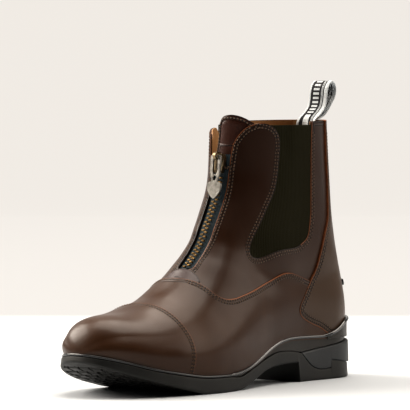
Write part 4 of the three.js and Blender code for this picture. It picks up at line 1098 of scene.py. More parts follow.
def webbing():
    """Black and off-white webbing: edge bands, a fine pair of lines and a ladder of plain bars, the white
    painted darker on the loop's back run as painted shade.
    """
    material, tree, shader, _ = new_material("webbing", Roughness=0.8, Specular_IOR_Level=0.2)
    place = node(tree, "ShaderNodeUVMap", {"uv_map": "UVMap"}).outputs[0]
    apart = node(tree, "ShaderNodeSeparateXYZ", Vector=place).outputs
    across, length = apart[0], apart[1]
    white = stripe(tree, across, -9.0, -6.9)
    for low, high in ((3.0, 3.5), (4.0, 4.5), (5.6, 9.0)):
        white = math_node(tree, "MAXIMUM", white, stripe(tree, across, low, high))
    step = math_node(tree, "FRACT", math_node(tree, "DIVIDE", length, 3.3))
    bars = math_node(tree, "MULTIPLY", stripe(tree, step, 0.2, 0.72, 0.05), stripe(tree, across, -4.6, 0.9))
    ladder = math_node(tree, "MULTIPLY", bars, stripe(tree, length, 19.0, 48.5, 0.1))
    base = math_node(tree, "MULTIPLY", stripe(tree, across, -4.2, 0.5), stripe(tree, length, 8.0, 18.3, 0.1))
    white = math_node(tree, "MAXIMUM", white, math_node(tree, "MAXIMUM", ladder, base))
    # Painted shade: past 56 mm along the loop, on its back run, the white is painted 40 percent darker
    back = map_range(tree, length, 55.0, 56.0)
    back_run_shade = math_node(tree, "SUBTRACT", 1.0, math_node(tree, "MULTIPLY", back, 0.4))
    white = math_node(tree, "MULTIPLY", white, back_run_shade)
    weave = use_group(tree, WEAVE, Place=place, Across=0.75, Along=0.9)
    black = mix_colour(tree, weave["Shade"], (0.006, 0.006, 0.008, 1), (0.022, 0.022, 0.026, 1))
    pale = mix_colour(tree, weave["Shade"], (0.52, 0.55, 0.56, 1), (0.76, 0.80, 0.82, 1))
    tree.links.new(mix_colour(tree, white, black, pale), shader.inputs["Base Color"])
    bump(tree, shader, weave["Height"], 0.00012)
    return material


LEATHER_DARK = (0.0225, 0.0077, 0.0028, 1)
LEATHER_WARM = (0.0480, 0.0205, 0.0085, 1)
RAW_TONE = (0.27, 0.092, 0.032, 1)
QUARTER = leather("quarter leather", LEATHER_DARK, LEATHER_WARM)
VAMP = leather("vamp leather", LEATHER_DARK, LEATHER_WARM)
CAP = leather("toe cap leather", LEATHER_DARK, LEATHER_WARM, low=(0.32, 0.44))
# Painted light: the counter's copy of the leather is painted about twice as light as the rest, standing in
# for light on the boot's rear
COUNTER = leather("counter leather", (0.0420, 0.0215, 0.0105, 1), (0.0640, 0.0360, 0.0200, 1))
TONGUE_LEATHER = leather("tongue leather", (0.0440, 0.0150, 0.0090, 1), (0.0600, 0.0220, 0.0150, 1),
                         rows=(2.2, 2.2))
PATCH_LEATHER = leather("zip foot leather", (0.0300, 0.0175, 0.0170, 1), (0.0480, 0.0290, 0.0280, 1),
                        rows=(9, 9))
RAW_EDGE = plain_finish("raw edge", (0.10, 0.030, 0.010, 1), (0.19, 0.062, 0.022, 1), (0.5, 0.7), 300.0,
                        Specular_IOR_Level=0.15)
EDGE_PAINT = plain_finish("quarter edge", (0.020, 0.007, 0.003, 1), (0.045, 0.016, 0.007, 1),
                          (0.5, 0.7), 300.0, Specular_IOR_Level=0.15)
LINING = plain_finish("lining leather", (0.3200, 0.1540, 0.0520, 1), (0.4200, 0.2250, 0.0900, 1),
                      (0.5, 0.7), 90.0)
THREAD = plain_finish("thread", (0.060, 0.034, 0.021, 1), (0.150, 0.095, 0.062, 1), (0.5, 0.7), 900.0,
                      Specular_IOR_Level=0.25)
# Painted shade: a near-black finish for the discs that stand in for the shadow inside needle holes
HOLE_SHADE = plain_finish("needle hole", (0.0024, 0.0012, 0.0009, 1), (0.0048, 0.0024, 0.0018, 1),
                    (0.8, 0.9), 300.0)
BRASS = plain_finish("antique brass", (0.15, 0.090, 0.036, 1), (0.33, 0.215, 0.092, 1), (0.28, 0.42), 500.0,
                     Metallic=1.0)
SLIDER_BRASS = plain_finish("slider brass", (0.1275, 0.0938, 0.0562, 1), (0.2700, 0.2100, 0.1312, 1),
                            (0.28, 0.42), 260.0, Metallic=1.0)
NICKEL = plain_finish("antique nickel", (0.2244, 0.2142, 0.1938, 1), (0.3536, 0.3400, 0.3094, 1),
                      (0.28, 0.42), 320.0, Metallic=1.0)
RUBBER = plain_finish("sole rubber", (0.0098, 0.0095, 0.0084, 1), (0.0168, 0.0164, 0.0147, 1),
                      (0.42, 0.56), 45.0, Specular_IOR_Level=0.3)
GLOSS_RUBBER = plain_finish("welt rubber", (0.0042, 0.0042, 0.0045, 1), (0.0077, 0.0077, 0.0084, 1),
                            (0.16, 0.26), 45.0, Specular_IOR_Level=0.6)
BEAD_RUBBER = plain_finish("bead rubber", (0.0070, 0.0078, 0.0082, 1), (0.0120, 0.0130, 0.0135, 1),
                           (0.14, 0.22), 45.0, Specular_IOR_Level=0.9)
MIDSOLE_RUBBER = plain_finish("midsole rubber", (0.0140, 0.0112, 0.0080, 1), (0.0210, 0.0168, 0.0122, 1),
                              (0.36, 0.48), 45.0, Specular_IOR_Level=0.35)
BLOCK_RUBBER = plain_finish("heel block rubber", (0.0182, 0.0196, 0.0210, 1), (0.0280, 0.0301, 0.0322, 1),
                            (0.42, 0.54), 45.0, Specular_IOR_Level=0.35)
TAPE = woven("zip tape", (0.0250, 0.0370, 0.0440, 1), (0.0560, 0.0780, 0.0900, 1), 0.9, 0.9)
ELASTIC = woven("gore elastic", (0.0085, 0.0073, 0.0014, 1), (0.0210, 0.0180, 0.0050, 1), 1.4, 0.7, 0.85)
WEBBING = webbing()

# The upper's panels

skin_points = skin_rows()
skin_normals = outward(*np.moveaxis(skin_points, -1, 0))
skin_points = creased(skin_points, skin_normals)
skin = Sheet(skin_points, skin_normals, closed=True)
inner_skin = Sheet(skin_points[::2, ::2], skin_normals[::2, ::2], closed=True)

cap_line = smooth_line(along(CAP_SEAM), up(CAP_SEAM), 40)
vamp_line = smooth_line(along(VAMP_SEAM), up(VAMP_SEAM), 90)
counter_line = smooth_line(along(COUNTER_SEAM), up(COUNTER_SEAM), 90)
gore_line = smooth_line(along(GORE), up(GORE), 110)
cap_outline = np.concatenate([cap_line, [[SPREAD, 0], [SPREAD, cap_line[0][1]]]])
vamp_outline = np.concatenate([
    [[vamp_line[0][0], BOOT_HEIGHT]], vamp_line,
    [[30, vamp_line[-1][1]], [30, 0], [SPREAD, 0], [SPREAD, BOOT_HEIGHT]]
])
counter_outline = np.concatenate([
    counter_line, [[-SPREAD, counter_line[-1][1]], [-SPREAD, counter_line[0][1]]]
])


collar_line = curve_through(along(COLLAR), up(COLLAR))


def front_outline(rows):
    """Closed outline in the front view: the zip's middle plus and less a table's shares of the slot."""
    outer = np.stack([ZIP_MIDDLE + rows["outer"] * SLOT_HALF, up(rows)], axis=-1)
    inner = np.stack([ZIP_MIDDLE - rows["inner"] * SLOT_HALF, up(rows)], axis=-1)
    return np.concatenate([outer, inner[::-1]])


def upper_fields(sheet):
    """Distances inside the toe cap, the vamp, the counter, the gores' windows and the throat, below the
    collar and above the feather edge."""
    drop = MEDIAL_DROP * ease(-sheet.y / 10) * ease((sheet.x - 80) / 15)
    collar = collar_line(sheet.x) - drop - sheet.z
    return {
        "cap": sheet.side_field(cap_outline),
        "vamp": sheet.side_field(vamp_outline),
        "counter": sheet.side_field(counter_outline),
        "gore": np.where(np.abs(sheet.y) > 8, sheet.side_field(gore_line), -SPREAD),
        "throat": sheet.front_field(front_outline(THROAT), THROAT_BACK * SOLE_LENGTH),
        "collar": collar,
        "sole": sheet.z - feather(sheet.x) + 3,
    }


def least(*fields):
    """The least of several distances, which cuts where any of them does."""
    return np.minimum.reduce(fields)


def near(field, reach=0.9):
    """1 where a distance is within reach of zero, else 0."""
    return (np.abs(field) < reach).astype(float)


QUARTER_DEPTH = 1.4
VAMP_LIFT = 1.1
CAP_LIFT = 1.8
COUNTER_LIFT = 1.5
PATCH_LIFT = 0.7
UNDER = 7.0
UNDERLAP = 0.6
LINING_DEPTH = 0.8
fields = upper_fields(skin)


def lifted(height):
    """One height for all the places of the upper's sheet."""
    return np.full(len(skin.x), height)


def upper_panels():
    """Quarters, the patch at the zip's foot, vamp, toe cap and counter, the later lying over the earlier,
    and the tan lining behind them."""
    quarter_keep = least(
        UNDER - fields["vamp"], UNDER - fields["counter"], -fields["gore"], -fields["throat"],
        fields["collar"], fields["sole"]
    )
    quarter_edge = least(-fields["gore"], -fields["throat"], fields["collar"] + 0.3)
    gore_back = near(fields["gore"]) * (skin.x < 78)
    throat_raw = near(fields["throat"]) * np.where(skin.y > ZIP_MIDDLE, 1.0, ease((skin.z - 155) / 15))
    cut_piece("quarters", skin, lifted(0), quarter_keep, QUARTER_DEPTH, [QUARTER, EDGE_PAINT],
              ["upper"], edge=quarter_edge, raw=0.6 * np.maximum(throat_raw, gore_back))
    patch = least(front_distance(skin, PATCH_LINE), skin.x - 150, UNDER - fields["vamp"])
    cut_piece("zip_foot_patch", skin, lifted(PATCH_LIFT), patch, PATCH_LIFT + UNDERLAP,
              [PATCH_LEATHER, PATCH_LEATHER], ["upper"], edge=patch, rounding=0.3)
    bare = 0.35 + 0.65 * ease((skin.x - 82) / 14) * ease((172 - skin.x) / 12)
    vamp_keep = least(fields["vamp"], UNDER - fields["cap"], UNDER - fields["counter"], fields["sole"])
    cut_piece("vamp", skin, lifted(VAMP_LIFT), vamp_keep, VAMP_LIFT + UNDERLAP, [VAMP, RAW_EDGE],
              ["upper"], edge=fields["vamp"], raw=bare * near(fields["vamp"]), rounding=0.12)
    cap_keep = least(fields["cap"], fields["sole"])
    cut_piece("toe_cap", skin, lifted(CAP_LIFT), cap_keep, CAP_LIFT + 0.3, [CAP, RAW_EDGE],
              ["upper"], edge=fields["cap"], raw=0.35 * near(fields["cap"]), rounding=0.2)
    counter_keep = least(fields["counter"], fields["collar"], fields["sole"])
    counter_edge = least(fields["counter"], fields["collar"] + 0.2)
    cut_piece("counter", skin, lifted(COUNTER_LIFT), counter_keep, COUNTER_LIFT + QUARTER_DEPTH,
              [COUNTER, RAW_EDGE], ["upper"], edge=counter_edge,
              raw=0.6 * np.maximum(near(fields["counter"]), near(fields["collar"])), rounding=0.12)
    inside = upper_fields(inner_skin)
    drawn_back = 1.6 * (1 - ease((inner_skin.z - 148) / 10))
    lining_keep = least(
        -inside["gore"], -inside["throat"] - drawn_back, inside["collar"] - 0.3, inside["sole"]
    )
    cut_piece("lining", inner_skin, np.full(len(inner_skin.x), -WALL), lining_keep, -LINING_DEPTH,
              [LINING, LINING], ["upper"], flip=True, rounding=0)


PATCH_LINE = np.array([
    [20.5, 78.0], [16.0, 81.6], [10.0, 84.6], [4.0, 86.0], [-1.0, 86.0], [-5.0, 84.8], [-9.0, 82.0],
    [-12.5, 77.5], [-15.0, 71.0], [4.0, 68.0], [21.0, 70.0]
])


def front_distance(sheet, outline):
    """Distance inside an outline in the front view, from a sheet's places."""
    return inside_distance(sheet.y, sheet.z, outline, sheet.normals[:, 1], sheet.normals[:, 2])


upper_panels()

# Elastic gores, in their own finer sheet, with ribs that run up the boot

RIB = 1.5
GORE_STEP = 0.36


def gore(side, name):
    """A sheet over the window's box in the side view, ribbed by a sine of the distance along the boot,
    cut to the window's outline."""
    low, high = gore_line.min(0), gore_line.max(0)
    x = np.arange(low[0] - 1, high[0] + 1, GORE_STEP)
    z = np.arange(low[1] - 1, GORE_TOP * BOOT_HEIGHT + 2, 1.4)
    grid_z, grid_x = np.meshgrid(z[::-1] if side < 0 else z, x, indexing="ij")
    points, normals = on_side(grid_x, grid_z, side)
    sheet = Sheet(points, normals)
    ribs = 0.16 * np.cos(2 * np.pi * sheet.x / RIB)
    corner = ease((sheet.z - 160) / 14) * ease((sheet.x - 84) / 10) * (side > 0)
    tucked = 1.2 + 11 * corner
    keep = least(sheet.side_field(gore_line) + tucked, GORE_TOP * BOOT_HEIGHT - sheet.z)
    lift = -GORE_SET_BACK - 0.2 + ribs - 1.1 * corner
    piece = cut_piece(name, sheet, lift, keep, GORE_THICKNESS, [ELASTIC, ELASTIC], [name],
                      inner=True, rounding=0.2)
    with_uv(piece, [0, 2])


gore(1, "gore_lateral")
gore(-1, "gore_medial")

# Tongue and zip tape, on sheets over the front view

tape_lift = -WALL - GAP
tongue_lift = tape_lift - TAPE_THICKNESS - GAP


def front_sheet(low_y, high_y, low_z, high_z, step):
    """A sheet of evenly spaced places in a box of the front view, laid on the last."""
    y = np.arange(low_y, high_y + step, step)
    z = np.arange(low_z, high_z + step, step)
    grid_z, grid_y = np.meshgrid(z, y, indexing="ij")
    points, normals = on_front(grid_y, grid_z)
    return Sheet(points, normals)


TONGUE_SIDES = (-17, 26)
TONGUE_STEP = 0.75
TAPE_HALF = 12
TAPE_ENDS = (81, 168)


def smooth_outline(rows, count):
    """A front outline made dense by a curve through its places."""
    return smooth_line(*front_outline(rows).T, count)


def tongue():
    """The tongue: its outline smoothed in the front view, on the last, with a pad at its top."""
    sheet = front_sheet(*TONGUE_SIDES, 93, 197, TONGUE_STEP)
    keep = sheet.front_field(smooth_outline(TONGUE, 120), THROAT_BACK * SOLE_LENGTH)
    pad = 0.9 * ease((keep - 1.2) / 5) * ease((sheet.z - 168) / 12)
    cut_piece("tongue", sheet, tongue_lift + pad - 0.4, keep, TONGUE_THICKNESS + 0.2,
              [TONGUE_LEATHER, TONGUE_LEATHER], ["tongue"], inner=True, rounding=0.5)


def zip_tape():
    """The zip's woven tape: a band of even width down the throat, set in by the wall."""
    sheet = front_sheet(ZIP_MIDDLE - TAPE_HALF, ZIP_MIDDLE + TAPE_HALF, *TAPE_ENDS, 0.8)
    side = TAPE_HALF - np.abs(sheet.y - ZIP_MIDDLE)
    keep = least(side, sheet.z - 81.2, 167.8 - sheet.z)
    piece = cut_piece("zip_tape", sheet, np.full(len(sheet.x), tape_lift), keep, TAPE_THICKNESS, [TAPE, TAPE],
                      ["zip_tape"], inner=True, rounding=0.1)
    with_uv(piece, [1, 2])


def tongue_patch():
    """A second layer on the tongue below its rounded top, its upper edge level, set in from the sides."""
    sheet = front_sheet(*TONGUE_SIDES, 150, 180, TONGUE_STEP)
    within = sheet.front_field(smooth_outline(TONGUE, 120), THROAT_BACK * SOLE_LENGTH)
    keep = least(within - 3.0, 176.5 - sheet.z, sheet.z - 151)
    cut_piece("tongue_patch", sheet, np.full(len(sheet.x), tongue_lift + 0.3), keep, 0.7,
              [TONGUE_LEATHER, TONGUE_LEATHER], ["tongue"], rounding=0.3)


tongue()
tongue_patch()
zip_tape()


LOOK_AHEAD = 0.3


def along_path(points, normals, pitch, start=0.0):
    """Places spaced evenly along a path, with the way from just behind each to just ahead of it, and its
    normal made square to that way."""
    reach = lengths(points)
    wanted = np.arange(start, reach[-1], pitch)
    way = unit(placed(wanted + LOOK_AHEAD, reach, points) - placed(wanted - LOOK_AHEAD, reach, points))
    out = placed(wanted, reach, normals)
    out -= (out * way).sum(1, keepdims=True) * way
    return placed(wanted, reach, points), way, unit(out)


def repeated(template, faces, spot, way, out):
    """Copies of a small shape at each place: x along the way, y across it and z outwards."""
    across = np.cross(out, way)
    turned = (template[None, :, :1] * way[:, None] + template[None, :, 1:2] * across[:, None]
              + template[None, :, 2:] * out[:, None] + spot[:, None])
    count = len(template)
    joined = faces[None] + (np.arange(len(spot)) * count)[:, None, None]
    return turned.reshape(-1, 3), joined.reshape(-1, faces.shape[1])




def bead(length, width, height, rings=5, sides=6, power=2.6):
    """A small rounded block: a superellipse along its length, an ellipse across."""
    a = np.sin(np.linspace(-1, 1, rings) * np.pi / 2 * 0.96)[:, None]
    around = np.linspace(0, 2 * np.pi, sides, endpoint=False)[None]
    size = (1 - np.abs(a) ** power) ** (1 / power)
    points = np.stack([
        np.broadcast_to(a * length / 2, (rings, sides)),
        size * np.cos(around) * width / 2,
        size * np.sin(around) * height / 2,
    ], axis=-1)
    faces = grid_faces(rings, sides, wrap=True)[:, ::-1]
    return points.reshape(-1, 3), faces


STITCH_PITCH = 2.5
STITCH = bead(1.75, 1.0, 0.9)
FIRST_ROW = 1.5
SECOND_ROW = 3.6


def seam_path(line, side, distance, lift):
    """A row beside a seam in the side view, on one side of the boot. The line is shifted square to itself
    by the distance along the surface: less in the view where the surface turns away from it."""
    way = directions(line)
    beside = np.stack([-way[:, 1], way[:, 0]], axis=-1)
    flat = half_squared(line[:, 0], line[:, 1]) > 0.5
    line, beside = line[flat], beside[flat]
    _, normals = on_side(line[:, 0], line[:, 1], side)
    facing = beside[:, 0] * normals[:, 0] + beside[:, 1] * normals[:, 2]
    moved = line + beside * (distance * np.sqrt(np.maximum(1 - facing**2, 0.08)))[:, None]
    good = half_squared(moved[:, 0], moved[:, 1]) > 0.2
    moved = moved[good]
    points, normals = on_side(moved[:, 0], moved[:, 1], side)
    return points + normals * lift, normals


def front_path(rows, edge, distance, lift):
    """A row beside one of the throat's edges in the front view."""
    sign = 1 if edge == "outer" else -1
    line = smooth_line(ZIP_MIDDLE + sign * rows[edge] * SLOT_HALF, up(rows), 160)
    way = directions(line)
    beside = np.stack([way[:, 1], -way[:, 0]], axis=-1) * sign
    _, normals = on_front(line[:, 0], line[:, 1])
    facing = beside[:, 0] * normals[:, 1] + beside[:, 1] * normals[:, 2]
    moved = line + beside * (distance * np.sqrt(np.maximum(1 - facing**2, 0.08)))[:, None]
    points, normals = on_front(moved[:, 0], moved[:, 1])
    return points + normals * lift, normals


def over_the_top(line, distance, lift):
    """One row from the lateral side over the ridge and down the medial side."""
    dense = placed(np.linspace(0, 1, 600) ** 0.5, np.linspace(0, 1, len(line)), line)
    lateral, lateral_normals = seam_path(dense, 1, distance, lift)
    medial, medial_normals = seam_path(dense, -1, distance, lift)
    normals = np.concatenate([lateral_normals[::-1], medial_normals])
    return np.concatenate([lateral[::-1], medial]), normals


def keep_path(path, test):
    """The places of a path, and their normals, that pass a test."""
    points, normals = path
    good = test(points)
    return points[good], normals[good]


def above_sole(points):
    """True for places more than a millimetre above the feather edge."""
    return points[:, 2] > feather(points[:, 0]) + 1.0


def disc(radius, sides=8):
    """A thin eight-sided button, painted near-black as the shade inside a needle hole."""
    turn = np.linspace(0, 2 * np.pi, sides, endpoint=False)
    ring = np.stack([radius * np.cos(turn), radius * np.sin(turn)], axis=-1)
    foot = np.column_stack([ring * 1.15, np.full(sides, -0.3)])
    rim = np.column_stack([ring, np.full(sides, 0.02)])
    points = np.concatenate([foot, rim, [[0, 0, 0.03]] * sides])
    return points, grid_faces(3, sides, wrap=True)[:, ::-1]


NEEDLE_HOLE = disc(0.72)


def joined_rows(name, paths, shape, material, start, sunk):
    """A small shape repeated along several paths, in one mesh."""
    points, faces, base = [], [], 0
    for path in paths:
        spot, way, out = along_path(*path, STITCH_PITCH, start)
        if len(spot) < 2:
            continue
        p, f = repeated(shape[0], shape[1], spot - out * sunk, way, out)
        points.append(p)
        faces.append(f + base)
        base += len(p)
    return finished(name, np.concatenate(points), np.concatenate(faces), [material])


def stitch_rows(name, paths):
    """Stitches along the paths and, half a pitch further on, dark discs painted as the shade in their needle
    holes.
    """
    joined_rows(name, paths, STITCH, THREAD, 0.0, 0.0)
    joined_rows(name + "_holes", paths, NEEDLE_HOLE, HOLE_SHADE, STITCH_PITCH / 2, -0.04)


def both_sides(line, distances, lift, test):
    """Rows beside a seam at each distance, on both sides of the boot."""
    return [keep_path(seam_path(line, side, distance, lift), test)
            for side in (1, -1) for distance in distances]


FLAP_CORNER = np.array([
    (98.4, 171.0), (98.7, 177.0), (99.9, 181.8), (102.8, 186.0), (106.4, 188.5), (111.0, 190.1),
    (117.0, 190.9)
])
corner_line = smooth_line(*FLAP_CORNER.T, 60)


def all_stitches():
    """Two rows beside every seam, as far apart as the seam's panels show, and single rows elsewhere."""
    pair = (FIRST_ROW, SECOND_ROW)
    cap = [keep_path(over_the_top(cap_line, d, CAP_LIFT - 0.05), above_sole) for d in pair]
    stitch_rows("cap_stitches", cap)
    stitch_rows("vamp_stitches", both_sides(vamp_line, pair, VAMP_LIFT - 0.05, lambda p: p[:, 0] > 72))
    stitch_rows("counter_stitches", both_sides(
        counter_line, (2.0, 4.3), COUNTER_LIFT - 0.05, lambda p: (p[:, 2] < 188) & above_sole(p)))
    gore = both_sides(gore_line, pair, -0.05, lambda p: (p[:, 2] < 188.5) & (p[:, 0] < 78))
    gore += both_sides(gore_line, pair, -0.05, lambda p: (p[:, 2] < 172) & (p[:, 0] >= 78))
    gore += [seam_path(corner_line, 1, -d, -0.05) for d in pair]
    stitch_rows("gore_stitches", gore)
    flap = [keep_path(front_path(THROAT, edge, d, -0.05), lambda p: (p[:, 2] < 187.5) & (p[:, 0] > 113))
            for edge in ("outer", "inner") for d in pair]
    stitch_rows("flap_stitches", flap)
    tongue_line = smooth_outline(TONGUE, 240)
    way = directions(tongue_line)
    beside = tongue_line + 2.2 * np.stack([-way[:, 1], way[:, 0]], axis=-1)
    points, normals = on_front(beside[:, 0], beside[:, 1])
    path = keep_path((points + normals * (tongue_lift + 0.35), normals), lambda p: p[:, 2] > 160)
    stitch_rows("tongue_stitches", [path])


all_stitches()

# Zip teeth in two rows that mesh, each a rounded block across the chain

TOOTH_PITCH = 3.3
TOOTH_OFFSET = 1.5
TOOTH_DEPTH = 0.9
CHAIN_ENDS = (88, 153)


def zip_teeth():
    """Blocks half a pitch apart down the zip's middle, in turn to the left and to the right."""
    z = np.linspace(*CHAIN_ENDS, 200)
    centre, normals = on_front(np.full_like(z, ZIP_MIDDLE), z)
    spot, way, out = along_path(centre - normals * TOOTH_DEPTH, normals, TOOTH_PITCH / 2)
    across = np.cross(out, way)
    side = np.where(np.arange(len(spot)) % 2 == 0, 1.0, -1.0)[:, None]
    template, faces = bead(2.8, 1.65, 1.9, rings=7, sides=8, power=5)
    places, joined = repeated(template, faces, spot + across * side * TOOTH_OFFSET, across, out)
    finished("zip_chain", places, joined, [BRASS], replaces=["zip_chain"])


zip_teeth()


def bevelled(source, width, material, body="boot", segments=3):
    """A CAD node's own shape with its corners rounded: a merged copy with flat faces joined, bevelled."""
    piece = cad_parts[source]
    mesh = piece.data.copy()
    made = bmesh.new()
    made.from_mesh(mesh)
    bmesh.ops.transform(made, matrix=piece.matrix_world, verts=made.verts)
    bmesh.ops.remove_doubles(made, verts=made.verts, dist=2e-6)
    bmesh.ops.dissolve_limit(made, angle_limit=math.radians(2), verts=made.verts, edges=made.edges)
    made.to_mesh(mesh)
    made.free()
    mesh.materials.clear()
    mesh.materials.append(material)
    copy = bpy.data.objects.new(source + "_shape", mesh)
    bpy.context.scene.collection.objects.link(copy)
    rounded = copy.modifiers.new("rounded", "BEVEL")
    rounded.width = width * MM
    rounded.segments = segments
    rounded.limit_method = "ANGLE"
    rounded.angle_limit = math.radians(32)
    mesh.polygons.foreach_set("use_smooth", np.ones(len(mesh.polygons), bool))
    mesh.set_sharp_from_angle(angle=math.radians(32))
    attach(copy, body)
    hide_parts(source)
    return copy


bevelled("zip_slider", 0.35, SLIDER_BRASS)
bevelled("zip_pull", 0.3, NICKEL, body="zip_pull")

# Sole: slabs lofted along the plan, each station's section running round its walls

WELT_FROM = 0.6
BREAST_ALONG = 0.285
BREAST_SLOPE = 2.0
BREAST_FOOT = BREAST_ALONG * SOLE_LENGTH - BREAST_SLOPE
STEP_X = 0.146 * SOLE_LENGTH
STEP_TOP = 0.425 * SEAT_HEIGHT
BACK_TOP = 0.27 * SEAT_HEIGHT
BLOCK_FRONT = 0.272 * SOLE_LENGTH
BLOCK_BACK_TOP = 0.885 * SEAT_HEIGHT
BLOCK_FRONT_TOP = 0.640 * SEAT_HEIGHT
WELT_THICKNESS = 2.0
WAVE = table(
    "along up",
    (0.147, 0.240),
    (0.186, 0.228),
    (0.218, 0.295),
    (0.250, 0.490),
    (0.272, 0.640),
    (0.315, 0.695),
    (0.360, 0.710),
    (0.440, 0.575),
    (0.500, 0.430),
    (0.570, 0.290),
    (0.600, 0.300),
)
wave = curve_through(along(WAVE), WAVE["up"] * SEAT_HEIGHT)


def underside(x):
    """Flat heel, a sloping breast, then the arch and the forefoot with its toe spring."""
    rise = clamp((x - BREAST_FOOT) / BREAST_SLOPE)
    return np.where(x < BREAST_FOOT + BREAST_SLOPE, rise * ARCH_RISE, arch_line(x))


def outsole_top(x):
    """Top of the outsole: a straight rise at the heel, the wave over the arch, then the welt's underside."""
    heel = mix(BACK_TOP, STEP_TOP, clamp(x / STEP_X))
    fore = feather(x) - WELT_THICKNESS - GAP
    return np.where(x < STEP_X, heel, np.where(x < WELT_FROM * SOLE_LENGTH, wave(x), fore))


def block_top(x):
    """Top of the heel's wedge: a straight fall from the back to its front."""
    return mix(BLOCK_BACK_TOP, BLOCK_FRONT_TOP, clamp(x / BLOCK_FRONT))


def plan_point(share, side, inset):
    """A place in the plan, inset from its outline. Each inset is one number or a pair, the second for the
    heel's back, where it fades into the first over the heel's rounding."""
    sides, rear = inset if isinstance(inset, tuple) else (inset, inset)
    fading = mix(rear, sides, ease(share / HEEL_ROUND))
    half = (plan_half(share) - fading) * plan_ends(share)
    return mix(rear, SOLE_LENGTH - sides, share), plan_middle(share) + side * half


def stations(start, end, count):
    """Shares of the sole's length, crowded towards a rounded end."""
    turn = np.linspace(0, 1, count)
    low = start == 0
    high = end == 1
    if low and high:
        return (1 - np.cos(np.pi * turn)) / 2
    if low:
        return end * (1 - np.cos(np.pi / 2 * turn))
    if high:
        return start + (end - start) * np.sin(np.pi / 2 * turn)
    return mix(start, end, turn)


def slab(name, shares, wall, material, replaces, across=2, relief=None, sharp=40):
    """A closed slab: at each station the section runs up the lateral wall, given as insets and heights
    from foot to top, over the top, down the medial wall and back across the underside."""
    columns = [(1.0, inset, height) for inset, height in wall]
    inset, height = wall[-1]
    columns += [(side, inset, height) for side in np.linspace(1, -1, across + 2)[1:-1]]
    columns += [(-1.0, inset, height) for inset, height in wall[::-1]]
    inset, height = wall[0]
    low = len(columns)
    columns += [(side, inset, height) for side in np.linspace(-1, 1, across + 2)[1:-1]]
    points = []
    for k, (side, inset, height) in enumerate(columns):
        x, y = plan_point(shares, side, inset)
        z = height(x)
        if relief is not None and k >= low:
            z = z + relief(x, y, side)
        points.append(np.stack([x, y, z], axis=-1))
    points = capped(np.stack(points, axis=1))
    faces = grid_faces(points.shape[0], points.shape[1], wrap=True)
    return finished(name, points.reshape(-1, 3), faces, [material], replaces=replaces,
                    sharp=sharp)


def rounded_wall(low, high, inset=(0.0, 0.0), round_low=0.6, round_high=0.6, taper=0.0, steps=5,
                 foot=0.0):
    """A wall with rounded corners, as insets and heights that follow the two lines. It leans in by the
    taper towards its top, and a foot set back from it reaches down into the groove below."""
    sides, rear = inset
    wall = []
    if foot:
        for drop in (foot, 0.0):
            wall.append(((sides + FOOT_INSET, rear + FOOT_INSET), lambda x, drop=drop: low(x) - drop))
    for turn in np.linspace(0, np.pi / 2, steps):
        away, rise = math.cos(turn), math.sin(turn)
        extra = round_low * (1 - rise)
        wall.append(((sides + extra, rear + extra), lambda x, away=away: low(x) + round_low * (1 - away)))
    for share in (0.2, 0.4, 0.6, 0.8):
        lean = taper * share
        wall.append(((sides + lean, rear + lean),
                     lambda x, share=share: mix(low(x) + round_low, high(x) - round_high, share)))
    for turn in np.linspace(0, np.pi / 2, steps):
        away, rise = math.cos(turn), math.sin(turn)
        extra = taper + round_high * (1 - away)
        wall.append(((sides + extra, rear + extra), lambda x, rise=rise: high(x) - round_high * (1 - rise)))
    return wall


LUG_PITCH = 9.5
GROOVE_HALF = 1.5
TREAD_DEPTH = 2.2
TREAD_SWEEP = 6.0
TREAD_HALF = 58.0
FORE_LUG = 182.0
CROSS_PITCH = 11.0


def tread(x, y, side):
    """Chevron grooves between lugs: how far the underside rises in them."""
    swept = x - TREAD_SWEEP * (1 - np.abs(y) / TREAD_HALF)
    fore = swept - (FORE_LUG - TREAD_SWEEP) - LUG_PITCH / 2
    heel = swept - (BREAST_FOOT / 2 - TREAD_SWEEP) - LUG_PITCH / 2
    phase = np.where(x > 100, fore, heel) / LUG_PITCH
    off = np.abs(phase - np.round(phase)) * LUG_PITCH
    cross = np.abs(y / CROSS_PITCH - np.round(y / CROSS_PITCH)) * CROSS_PITCH
    deep = np.maximum(ease((GROOVE_HALF + 0.4 - off) / 0.8), ease((1.1 - cross) / 0.8))
    rim = ease((np.minimum(1 - abs(side), 1) * 46 - 2.6) / 1.2)
    ends = ease((x - 6) / 2) * ease((BREAST_FOOT - 6 - x) / 2) + ease((x - 158) / 3) * ease((274 - x) / 2)
    return TREAD_DEPTH * deep * rim * ends


GROOVE = 0.6
FOOT_INSET = 1.4
FOOT = GROOVE + 0.3


def block_low(x):
    """Bottom of the wedge: a groove above the outsole."""
    return outsole_top(x) + GROOVE


def block_high(x):
    """The wedge's edge: its top less a groove that fades in at the back."""
    return np.maximum(block_top(x) - GROOVE * ease(1 - x / 14), outsole_top(x) + GROOVE + 0.6)


def midsole_low(x):
    """Bottom of the midsole: a groove above the wedge, then above the wave."""
    return np.where(x < BLOCK_FRONT, block_top(x), wave(x)) + GROOVE


slab("outsole", stations(0, 1, 520), rounded_wall(underside, outsole_top, (0.0, 0.3), 1.2, 0.5, 0.5),
     RUBBER, ["outsole"], across=90, relief=tread)
slab("heel_block", stations(0, 0.2715, 160),
     rounded_wall(block_low, block_high, (0.5, -0.3), 0.5, 1.3, 0.4, foot=FOOT),
     BLOCK_RUBBER, ["heel_block"])
slab("midsole", stations(0, WELT_FROM, 300),
     rounded_wall(midsole_low, lambda x: feather(x) - 0.6, (1.5, 3.0), 0.4, 0.6, 0.3, foot=FOOT),
     MIDSOLE_RUBBER, ["midsole"])
slab("welt", stations(WELT_FROM, 1, 240),
     rounded_wall(lambda x: feather(x) - WELT_THICKNESS, feather, (0.8, 0.8), 0.9, 0.9), GLOSS_RUBBER,
     ["welt"])

